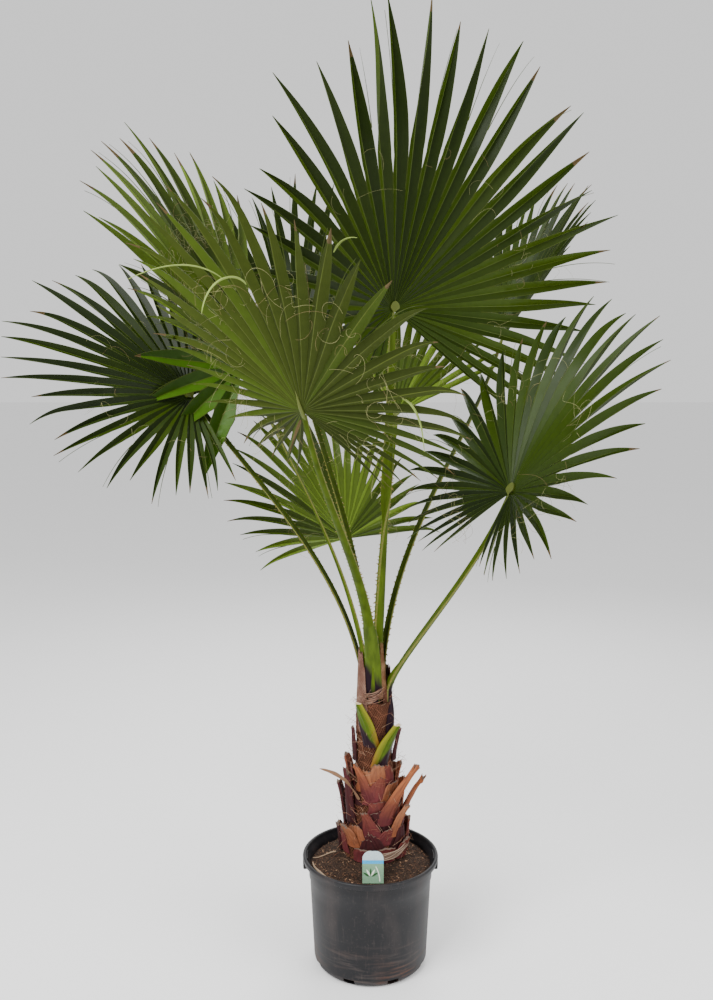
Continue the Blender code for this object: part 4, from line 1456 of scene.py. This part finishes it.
def leaf_finishes(settings):
    """Every green of the leaves as a painted lit copy and a painted shaded copy, upper side and underside,
    with the ribs, edges, tips and bent ends.
    """
    green = settings.green[:]
    greens = {
        "deep": green,
        "dark": blend(green, (0.010, 0.018, 0.004), 0.6),
        "leafy": blend(green, (0.034, 0.056, 0.004), 0.45),
        "mid": (0.034, 0.056, 0.004),
        "bright": (0.088, 0.138, 0.013),
        "vivid": (0.028, 0.066, 0.004),
        "olive": (0.026, 0.037, 0.003),
    }
    made = {}
    for name, colour in greens.items():
        # Each green gets a painted lit copy (left, 1.34 times) and a painted shaded copy (right, 0.68
        # times). These are painted light and painted shade on the two slopes of a leaflet's pleat, and the
        # underside copies carry them too.
        for side, factor in (("left", 1.34), ("right", 0.68)):
            skin = shade(colour, factor)
            made[f"{name}_{side}"] = leaf_finish(f"leaf_{name}_{side}", skin, 0.10, 0.36)
            under = blend(skin, (0.040, 0.055, 0.014), 0.2)
            made[f"{name}_{side}_under"] = leaf_finish(f"leaf_{name}_{side}_under", under, 0.05, 0.55)
    made["rib"] = leaf_finish("leaf_rib", (0.052, 0.076, 0.010), 0.12, 0.42)
    made["rib_under"] = leaf_finish("leaf_rib_under", (0.062, 0.080, 0.012), 0.08, 0.5)
    made["edge"] = leaf_finish("leaf_edge", (0.040, 0.056, 0.008), 0.08, 0.5)
    made["tip"] = plain("leaf_tip", (0.075, 0.050, 0.016), 0.8)
    made["bent"] = leaf_finish("leaf_bent", (0.220, 0.290, 0.070), 0.1, 0.6)
    return made


def fan_materials(look, finishes):
    """A fan's materials in the order of its slots, upper side first."""
    ordered = []
    for ending in ("", "_under"):
        # Each green comes as its painted lit copy (left) and its painted shaded copy (right).
        ordered += [finishes[f"{name}_{side}{ending}"] for name in look.greens for side in ("left", "right")]
        ordered += [finishes["rib" + ending], finishes["edge"], finishes["tip"], finishes["bent"]]
    return ordered


def given_thickness(sheet_piece, thickness):
    """The sheet made into a closed leaf, with its underside's own materials."""
    shell = sheet_piece.modifiers.new("Thickness", "SOLIDIFY")
    shell.thickness = thickness
    shell.offset = 0.0
    shell.material_offset = LEAF_SLOTS
    shell.material_offset_rim = 0
    settle(sheet_piece)
    sheet_piece.data.shade_smooth()
    sheet_piece.data.set_sharp_from_angle(angle=math.radians(30))
    return sheet_piece


def grow_fan(name, frond, look, settings, finishes, chance):
    """One fan: its leaflets as a sheet that shares its pleats near the heart, given a thickness."""
    blade = Blade(frond)
    step = math.radians(frond.left + frond.right) / frond.leaflets
    shape = Shape()
    for number, habit in enumerate(leaflet_habits(frond, look, settings.bent, chance)):
        angle = -math.radians(frond.left) + step * (number + 0.5)
        points, slots, sheet = leaflet_net(blade, angle, step, habit, settings.fold)
        shape.grid(points, slots, sheet=sheet)
        if habit.sliver and habit.bend == NOWHERE:
            shape.grid(sliver_net(points, habit.sliver), EDGE_SLOT)
    fan = shape.piece(name, fan_materials(look, finishes), weld=0.00004, smooth=None)
    return given_thickness(fan, settings.thickness)


def petiole_line(frond, share):
    """A point on the stalk's middle line: upright in the sheath, then a curve to the blade's tongue."""
    foot = frond_foot(frond)
    throat = foot + UP * frond.sheath
    along = blade_axes(frond)[0]
    tip = np.array(frond.heart) - along * (TONGUE_LENGTH * 0.35)
    span = np.linalg.norm(np.array(frond.heart) - along * (TONGUE_LENGTH + CLEARANCE) - throat)
    rise = frond.sheath / (frond.sheath + span)
    if share <= rise:
        return foot + (throat - foot) * (share / rise)
    gone = (share - rise) / (1 - rise)
    way = math.degrees(math.atan2(tip[1] - foot[1], tip[0] - foot[0]))
    first = throat + direction(way, LAUNCH_RISE) * span * frond.launch
    second = tip - direction(way, frond.arrival) * span * ARRIVAL_SHARE
    return bezier(throat, first, second, tip, gone)


PETIOLE_SECTION = (
    (-0.50, 0.00), (-0.46, -0.14), (-0.34, -0.31), (-0.18, -0.44), (0.0, -0.50), (0.18, -0.44),
    (0.34, -0.31), (0.46, -0.14), (0.50, 0.00), (0.44, 0.16), (0.28, 0.20), (0.12, 0.12), (0.0, 0.09),
    (-0.12, 0.12), (-0.28, 0.20), (-0.44, 0.16),
)
PETIOLE_STATIONS = 72
MARGIN_COLUMNS = (0, 7, 8, 15)


def stalk_finish(name, green, foot, low, high):
    """A stalk: purple or brown at its foot, green above, with fine lengthwise streaks."""
    finish = Finish(name, specular=0.04)
    height = finish.along(finish.place(), 2)
    cloud = finish.noise(finish.place((1.0, 1.0, 0.2)), 60.0, 4.0)
    streaks = finish.noise(finish.sheet((1.0, 0.03, 1.0)), 420.0, 3.0)
    colour = finish.mix(finish.spread(cloud, 0.30, 0.72), shade(green, 0.60), shade(green, 1.30))
    colour = finish.mix(streaks * 0.5, colour, shade(green, 0.70))
    lift = finish.spread(height + cloud * 0.03 - 0.015, low, high)
    return finish.paint(finish.mix(lift, foot, colour), 0.5, streaks, 0.0002, 0.25)


def clasp_finish(clasp, green, purple):
    """A stalk's foot: purple up to a slanting line, green above it."""
    finish = Finish(f"clasp_{clasp.name}", specular=0.08)
    sheet = finish.sheet()
    level = finish.along(sheet, 1) - finish.along(sheet, 0) * clasp.slope
    cloud = finish.noise(finish.place((1.0, 1.0, 0.2)), 70.0, 4.0)
    colour = finish.mix(finish.spread(cloud, 0.30, 0.72), shade(green, 0.60), shade(green, 1.35))
    lift = finish.spread(level + cloud * 0.03 - 0.015, clasp.green_line - 0.016,
                         clasp.green_line + 0.016)
    return finish.paint(finish.mix(lift, purple, colour), 0.45, cloud, 0.0004, 0.5)


def petiole_shape(frond, chance):
    """The stalk with its toothed edges."""
    shares = np.linspace(0, 1, PETIOLE_STATIONS) ** 1.05
    line = np.array([petiole_line(frond, share) for share in shares])
    ahead = unit(np.gradient(line, axis=0))
    ahead[0] = UP
    side = blade_axes(frond)[1]
    foot_side = direction(frond.foot_heading - 90, 0)
    across = foot_side * (1 - shares)[:, None] + side * shares[:, None]
    across = unit(across - ahead * np.sum(across * ahead, axis=1)[:, None])
    upper = np.cross(across, ahead)
    widths = PETIOLE_SWELL * (frond.base_width + (PETIOLE_TIP_WIDTH - frond.base_width) * shares)
    widths = widths * (1 + (frond.girth - 1) * (1 - 0.6 * shares ** 3))
    section = np.array(PETIOLE_SECTION)
    depths = widths * PETIOLE_DEPTH
    rings = (line[:, None, :] + across[:, None, :] * (widths[:, None] * section[:, 0])[..., None]
             + upper[:, None, :] * (depths[:, None] * section[:, 1])[..., None])
    slots = np.zeros((PETIOLE_STATIONS - 1, len(section)), dtype=int)
    slots[:, list(MARGIN_COLUMNS)] = 1
    around = np.cumsum(np.linalg.norm(np.diff(section, axis=0, append=section[:1]), axis=1)) * 0.02
    lengths = np.concatenate(([0.0], np.cumsum(np.linalg.norm(np.diff(line, axis=0), axis=1))))
    sheet = np.stack(np.broadcast_arrays(around[None, :], lengths[:, None]), axis=-1)
    shape = Shape()
    shape.rod(rings, slots, foot_slot=0, tip_slot=1, sheet=sheet)
    for hand in (-1, 1):
        place = frond.sheath * FIRST_TOOTH + chance.uniform(0.0, 0.02)
        while place < lengths[-1] * LAST_TOOTH:
            share = np.interp(place, lengths, shares)
            row = int(np.searchsorted(lengths, place))
            size = TOOTH_LENGTH * (1 - 0.55 * share) * chance.uniform(0.7, 1.2)
            edge = line[row] + across[row] * (widths[row] * 0.49 * hand)
            base = ahead[row] * size * 0.55
            thick = upper[row] * size * 0.24
            tip = edge + across[row] * hand * size * 0.95 + ahead[row] * size * chance.choice((-0.5, 0.6))
            sunk = edge - across[row] * hand * 0.0012
            ring = np.array([sunk - base, sunk - thick, sunk + base, sunk + thick])
            if hand < 0:
                ring = ring[::-1]
            point = np.array([tip + (corner - sunk) * 0.08 for corner in ring])
            shape.rod(np.array([ring, point]), 2)
            place += chance.uniform(0.011, 0.021)
    return shape


class PALM_OT_petioles(bpy.types.Operator):
    """Build the stalks with their toothed edges"""

    bl_idname = "palm.petioles"
    bl_label = "Stalks"

    def execute(self, context):
        settings = context.scene.palm_fronds
        green, purple = settings.stalk[:], settings.stalk_foot[:]
        front = stalk_finish("stalk_purple_foot", green, purple, 0.730, 0.760)
        brown = stalk_finish("stalk_brown_foot", green, (0.160, 0.110, 0.030), 0.710, 0.800)
        margin = plain("stalk_edge", (0.105, 0.115, 0.016), 0.5)
        tooth = plain("stalk_tooth", (0.200, 0.150, 0.035), 0.5)
        shaded = stalk_finish("stalk_dark", shade(green, 0.48), (0.060, 0.040, 0.012), 0.710, 0.800)
        for key, frond in FRONDS.items():
            shape = petiole_shape(frond, random.Random(PETIOLE_SEED + ord(key)))
            skin = front if key in "bf" else shaded if key in "ceg" else brown
            stalk = shape.piece(f"stalk_{key}", [skin, margin, tooth], smooth=50)
            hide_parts(f"petiole_{key}")
        shape = Shape()
        for slot, clasp in enumerate(CLASPS):
            self.clasp(shape, clasp, slot)
        feet = shape.piece("stalk_feet", [clasp_finish(clasp, green, purple) for clasp in CLASPS], smooth=60)
        return {"FINISHED"}

    def clasp(self, shape, clasp, slot):
        """A stalk's broad foot: it lies on the trunk below the neck and narrows up into the stalk."""
        frond = FRONDS[clasp.frond]
        levels = np.linspace(0, 1, 12)[:-1] if clasp.low < TRUNK_TOP else ()
        beside = trunk_radius(clasp.low) + 0.001
        turned_by = frond.foot_heading - clasp.heading
        line = np.array([beside_trunk(beside + (frond.foot_radius - 0.047) * level ** 3,
                                      math.radians(clasp.heading + turned_by * level ** 2),
                                      clasp.low + (TRUNK_TOP - clasp.low) * level) for level in levels]
                        + [petiole_line(frond, share) for share in np.linspace(clasp.first_share, 0.30, 18)])
        ahead = unit(np.gradient(line, axis=0))
        flat = direction(clasp.heading + 90, 0)
        across = unit(flat - ahead * (ahead @ flat)[:, None])
        out = np.cross(across, ahead)
        turns = np.linspace(0, math.tau, 24, endpoint=False)
        rings = []
        sheets = []
        for index, share in enumerate(np.linspace(0, 1, len(line))):
            ends = min(1.0, 0.80 + share * 5) * (1 - 0.55 * smooth_step((share - 0.72) / 0.28))
            half = (clasp.halves[0] + (clasp.halves[1] - clasp.halves[0]) * share ** 0.8) * ends
            deep = (clasp.depths[0] + (clasp.depths[1] - clasp.depths[0]) * share) * ends
            rings.append([line[index] + across[index] * half * math.cos(turn)
                          + out[index] * deep * math.sin(turn) for turn in turns])
            sheets.append([(half * math.cos(turn), line[index][2]) for turn in turns])
        shape.rod(np.array(rings), slot, sheet=np.array(sheets))


class PALM_OT_blades(bpy.types.Operator):
    """Build the pleated fan blades, with their ribs, splits, slivers and tips"""

    bl_idname = "palm.blades"
    bl_label = "Fan blades"

    def execute(self, context):
        settings = context.scene.palm_fronds
        finishes = leaf_finishes(settings)
        for key, frond in FRONDS.items():
            chance = random.Random(FAN_SEED + ord(key))
            fan = grow_fan(f"fan_{key}", frond, LOOKS[key], settings, finishes, chance)
            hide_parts(f"blade_{key}")
        chance = random.Random(LOBES_SEED)
        lobes = grow_fan("young_leaflets", LOBES, LOBES_LOOK, settings, finishes, chance)
        self.ribbons(settings, finishes)
        return {"FINISHED"}

    def ribbons(self, settings, finishes):
        """Single leaflets that have bent right over, each with its two slopes and rib."""
        shape = Shape()
        shares = np.linspace(0, 1, RIBBON_ROWS)
        for ribbon in RIBBONS:
            corners = [np.array(corner) for corner in ribbon[:4]]
            line = np.array([bezier(*corners, share) for share in shares])
            across, out = side_vectors(line)
            wide = ribbon.width * np.sin(math.pi * (0.10 + 0.86 * shares ** 0.8))[:, None]
            wide[-1] = RIBBON_TIP
            columns = [line + across * wide * c / 2 + out * wide * 0.30 * (abs(c) - 0.5)
                       for c in (-1.0, -0.5, 0.0, 0.5, 1.0)]
            slot = BENT_SLOT if ribbon.finish == "bent" else TIP_SLOT
            shape.grid(np.stack(columns, axis=1), slot)
        ribbons = shape.piece("bent_leaflets", fan_materials(LOOKS["b"], finishes), weld=0, smooth=None)
        given_thickness(ribbons, settings.thickness)


class PALM_OT_hearts(bpy.types.Operator):
    """Build the pale tongue and rib where each stalk runs into its blade"""

    bl_idname = "palm.hearts"
    bl_label = "Blade hearts"

    def execute(self, context):
        shape = Shape()
        for frond in FRONDS.values():
            blade = Blade(frond)
            self.rib(shape, blade)
            self.tongue(shape, blade)
        hearts = shape.piece("blade_hearts", [plain("heart_rib", (0.085, 0.105, 0.014), 0.5)], smooth=60)
        return {"FINISHED"}

    def rib(self, shape, blade):
        """The end of the stalk, which runs on under the blade as a rib."""
        shares = np.linspace(0, 1, 14)
        start = np.array(blade.frond.heart) - blade.along * TONGUE_LENGTH
        spine = np.array([blade.middle(0.0, 0.09 * share) for share in shares])
        reach = shares[:, None] / HEART_SHARE
        line = np.where(shares[:, None] < HEART_SHARE, start + (spine[3] - start) * reach, spine)
        turns = np.linspace(0, math.tau, 10, endpoint=False)
        rings = []
        for place, width in zip(line, 0.0056 * (1 - shares ** 1.2) + 0.0006):
            middle = place - blade.face * (0.0012 + width * 0.25)
            rings.append([middle + blade.side * width * math.cos(turn)
                          + blade.face * width * 0.62 * math.sin(turn) for turn in turns])
        shape.rod(np.array(rings)[:, ::-1])

    def tongue(self, shape, blade):
        """The rounded tongue that stands on the blade's upper side, over its heart."""
        heart = np.array(blade.frond.heart)
        angles = np.radians(np.linspace(-82, 82, 15))
        near = np.array([heart + blade.face * 0.0030 - blade.along * 0.010] * len(angles))
        far = np.array([heart + blade.directions(angle)[0] * TONGUE_RADIUS * (1.25 - 0.25 * abs(angle))
                        + blade.face * 0.0046 for angle in angles])
        top = np.stack((near, (near + far) / 2 + blade.face * 0.0012, far))
        bottom = top - blade.face * TONGUE_THICKNESS
        sides = np.concatenate((top, bottom[::-1]))
        shape.grid(np.concatenate((sides, sides[:1])))


class PALM_OT_threads(bpy.types.Operator):
    """Build the curled threads that hang between the leaflets"""

    bl_idname = "palm.threads"
    bl_label = "Threads"

    def execute(self, context):
        settings = context.scene.palm_fronds
        chance = random.Random(THREAD_SEED)
        shape = Shape()
        for key, frond in FRONDS.items():
            blade = Blade(frond)
            step = math.radians(frond.left + frond.right) / frond.leaflets
            for _ in range(int(settings.threads * LOOKS[key].threads)):
                angle = step * chance.randrange(1, frond.leaflets) - math.radians(frond.left)
                share = chance.uniform(0.44, 0.58)
                self.thread(shape, blade, angle, share, chance)
        pale = plain("thread_pale", (0.270, 0.260, 0.110), 0.7)
        brown = plain("thread_brown", (0.170, 0.125, 0.050), 0.7)
        threads = shape.piece("leaf_threads", [pale, brown], weld=0, smooth=None)
        return {"FINISHED"}

    def thread(self, shape, blade, angle, share, chance):
        """One thread: it leaves a leaflet's edge and curls as it goes."""
        ray, sideways, normal = blade.directions(angle)
        place = blade.middle(angle, share) + normal * 0.003
        way = unit(ray * chance.uniform(-0.2, 1.0)
                   + sideways * chance.choice((-1, 1)) * chance.uniform(0.2, 1.0)
                   + normal * chance.uniform(-0.5, 0.5))
        axis = unit(np.array([chance.gauss(0, 1) for _ in range(3)]) + normal * 1.6)
        bend = chance.choice((-1, 1)) * chance.uniform(0.03, 0.22)
        growth = chance.uniform(0.97, 1.06)
        line = [place]
        for _ in range(chance.randrange(16, 34)):
            turn = Matrix.Rotation(bend, 3, Vector(axis))
            way = unit(np.array(turn @ Vector(way)) - UP * 0.03)
            line.append(line[-1] + way * THREAD_STEP)
            bend = max(-MOST_THREAD_BEND, min(MOST_THREAD_BEND, bend * growth))
        line = np.array(line)
        shape.rod(tube(line, np.linspace(0.00034, 0.00022, len(line)), 3), chance.choice((0, 0, 1)))


# The label


class PALM_OT_label(bpy.types.Operator):
    """Build the grower's card with its band and a plain leaf figure"""

    bl_idname = "palm.label"
    bl_label = "Label"

    def execute(self, context):
        settings = context.scene.palm_label
        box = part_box("label")
        place = (Matrix.Translation((box[0].x / 2 + box[1].x / 2, *LABEL_PLACE))
                 @ Matrix.Rotation(math.radians(90) - math.radians(LABEL_LEAN), 4, "X"))
        shape = Shape()
        self.card(shape, place, settings)
        self.figures(shape, place, settings.height)
        pale = plain("card_pale", (0.420, 0.530, 0.540), 0.4, 0.0001)
        band = plain("card_band", settings.band[:], 0.35, 0.0001)
        panel = plain("card_panel", (0.170, 0.300, 0.190), 0.4, 0.0001)
        leaf = plain("card_leaf", (0.025, 0.085, 0.025), 0.45, 0.0001)
        light = plain("card_light", (0.700, 0.760, 0.640), 0.4, 0.0001)
        label = shape.piece("plant_label", [pale, band, panel, leaf, light], smooth=40)
        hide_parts("label")
        return {"FINISHED"}

    def card(self, shape, place, settings):
        """The bowed card with its rounded top: pale, with a band and a panel on its front."""
        half = settings.width / 2
        straight = settings.height - LABEL_CORNER
        arch = LABEL_CORNER * np.sin(np.linspace(0, math.pi / 2, 12))[1:]
        rows = []
        for y in np.concatenate((np.linspace(0, straight, 22), straight + arch)):
            over = max(0.0, (y - straight) / LABEL_CORNER)
            wide = half - LABEL_CORNER + LABEL_CORNER * math.sqrt(max(0.0, 1 - over * over))
            rows.append([(wide * c, y, LABEL_BOW * math.cos(c * 1.4)) for c in np.linspace(-1, 1, 13)])
        front = np.array(rows)
        back = front - np.array((0.0, 0.0, LABEL_THICKNESS))
        rings = np.concatenate((front, back[:, ::-1]), axis=1)
        slots = np.zeros((len(rows) - 1, rings.shape[1]), dtype=int)
        middles = (front[:-1, 0, 1] + front[1:, 0, 1]) / 2 / settings.height
        slots[(middles > BAND_LOW) & (middles < BAND_HIGH), :12] = 1
        slots[middles <= BAND_LOW, :12] = 2
        moved = np.array([[tuple(place @ Vector(point)) for point in ring] for ring in rings])
        shape.rod(moved, slots, foot_slot=2, tip_slot=0)

    def figures(self, shape, place, high):
        """A plain spray of leaves and a pale curve on the card's lower half."""
        for turn in (-60, -30, 0, 30, 60):
            lean = math.radians(turn)
            centre = np.array((-0.006, high * 0.20))
            way = np.array((math.sin(lean), math.cos(lean)))
            aside = np.array((way[1], -way[0]))
            outline = [centre + way * 0.022 * s + aside * 0.0028 * w for s, w in FIGURE_LEAF]
            self.figure(shape, place, outline, 0.0001, 4 if turn in (-30, 30) else 3)
        sweep = [np.array((0.016 - 0.010 * s * s, high * (0.06 + 0.46 * s))) for s in np.linspace(0, 1, 9)]
        outline = sweep + [point + np.array((0.0025, 0.0)) for point in sweep[::-1]]
        self.figure(shape, place, outline[::-1], 0.00015, 4)

    def figure(self, shape, place, outline, depth, slot):
        """A thin raised figure from its outline on the card."""
        top = np.array([tuple(place @ Vector((x, y, 0.00135 + depth))) for x, y in outline])
        low = np.array([tuple(place @ Vector((x, y, 0.0002))) for x, y in outline])
        shape.rod(np.array([low, top]), slot)


# The stage


class PALM_OT_stage(bpy.types.Operator):
    """Build the pale floor, the soft lights and the camera"""

    bl_idname = "palm.stage"
    bl_label = "Stage"

    def execute(self, context):
        settings = context.scene.palm_stage
        self.backdrop(settings)
        self.lights(context, settings)
        camera = bpy.data.cameras.new("camera")
        camera.lens = LENS
        camera.sensor_width = SENSOR_WIDTH
        stand = bpy.data.objects.new("camera", camera)
        stand.location = CAMERA_PLACE
        stand.rotation_euler = (math.radians(CAMERA_TILT), 0.0, 0.0)
        context.scene.collection.objects.link(stand)
        context.scene.camera = stand
        return {"FINISHED"}

    def backdrop(self, settings):
        """A floor so wide that its edge is out of sight."""
        finish = Finish("floor", specular=0.1)
        cloud = finish.noise(finish.place(), 1.2, 2.0)
        floor = settings.floor[:]
        material = finish.paint(finish.mix(cloud, shade(floor, 0.985), floor), 0.9)
        mesh = bpy.data.meshes.new("floor")
        corners = [(FLOOR_SPAN * x, FLOOR_SPAN * y, 0) for x, y in ((-1, -1), (1, -1), (1, 1), (-1, 1))]
        mesh.from_pydata(corners, [], [(0, 1, 2, 3)])
        mesh.materials.append(material)
        plane = bpy.data.objects.new("floor", mesh)
        bpy.context.scene.collection.objects.link(plane)

    def lights(self, context, settings):
        """Broad soft lights from the front left, the right and behind, and an even sky."""
        powers = {"key": settings.key, "side": settings.fill, "back": settings.fill}
        for name, spot, aim, size in LAMPS:
            lamp = bpy.data.lights.new(name, "AREA")
            lamp.size = size
            lamp.energy = powers[name]
            stand = bpy.data.objects.new(name, lamp)
            stand.location = spot
            stand.rotation_euler = (Vector(aim) - Vector(spot)).to_track_quat("-Z", "Y").to_euler()
            context.scene.collection.objects.link(stand)
        world = bpy.data.worlds.new("sky")
        world.use_nodes = True
        background = world.node_tree.nodes["Background"]
        background.inputs["Color"].default_value = (1.0, 1.0, 1.0, 1.0)
        background.inputs["Strength"].default_value = settings.sky
        context.scene.world = world


# The panel and the add-on's registration

SETTINGS = {
    "palm_pot": PalmPotSettings,
    "palm_soil": PalmSoilSettings,
    "palm_trunk": PalmTrunkSettings,
    "palm_fronds": PalmFrondSettings,
    "palm_label": PalmLabelSettings,
    "palm_stage": PalmStageSettings,
}
OPERATORS = (
    PALM_OT_pot, PALM_OT_soil, PALM_OT_trunk, PALM_OT_leaf_bases, PALM_OT_petioles, PALM_OT_blades,
    PALM_OT_hearts, PALM_OT_threads, PALM_OT_label, PALM_OT_stage,
)


class PALM_PT_panel(bpy.types.Panel):
    """Lists the pieces and their settings"""

    bl_label = "Fan palm"
    bl_idname = "PALM_PT_panel"
    bl_space_type = "VIEW_3D"
    bl_region_type = "UI"
    bl_category = "Fan palm"

    def draw(self, context):
        for operator in OPERATORS:
            self.layout.operator(operator.bl_idname)
        for name in SETTINGS:
            group = getattr(context.scene, name)
            box = self.layout.box()
            for setting in group.bl_rna.properties.keys():
                if setting not in ("rna_type", "name"):
                    box.prop(group, setting)


def register():
    """Adds the settings, operators and panel to Blender."""
    for name, group in SETTINGS.items():
        bpy.utils.register_class(group)
        setattr(bpy.types.Scene, name, PointerProperty(type=group))
    for operator in OPERATORS:
        bpy.utils.register_class(operator)
    bpy.utils.register_class(PALM_PT_panel)


def unregister():
    """Takes them out again."""
    bpy.utils.unregister_class(PALM_PT_panel)
    for operator in reversed(OPERATORS):
        bpy.utils.unregister_class(operator)
    for name, group in SETTINGS.items():
        delattr(bpy.types.Scene, name)
        bpy.utils.unregister_class(group)


def main():
    """Builds every piece."""
    register()
    bpy.ops.palm.pot()
    bpy.ops.palm.soil()
    bpy.ops.palm.trunk()
    bpy.ops.palm.leaf_bases()
    bpy.ops.palm.petioles()
    bpy.ops.palm.blades()
    bpy.ops.palm.hearts()
    bpy.ops.palm.threads()
    bpy.ops.palm.label()
    bpy.ops.palm.stage()


if __name__ == "__main__":
    main()
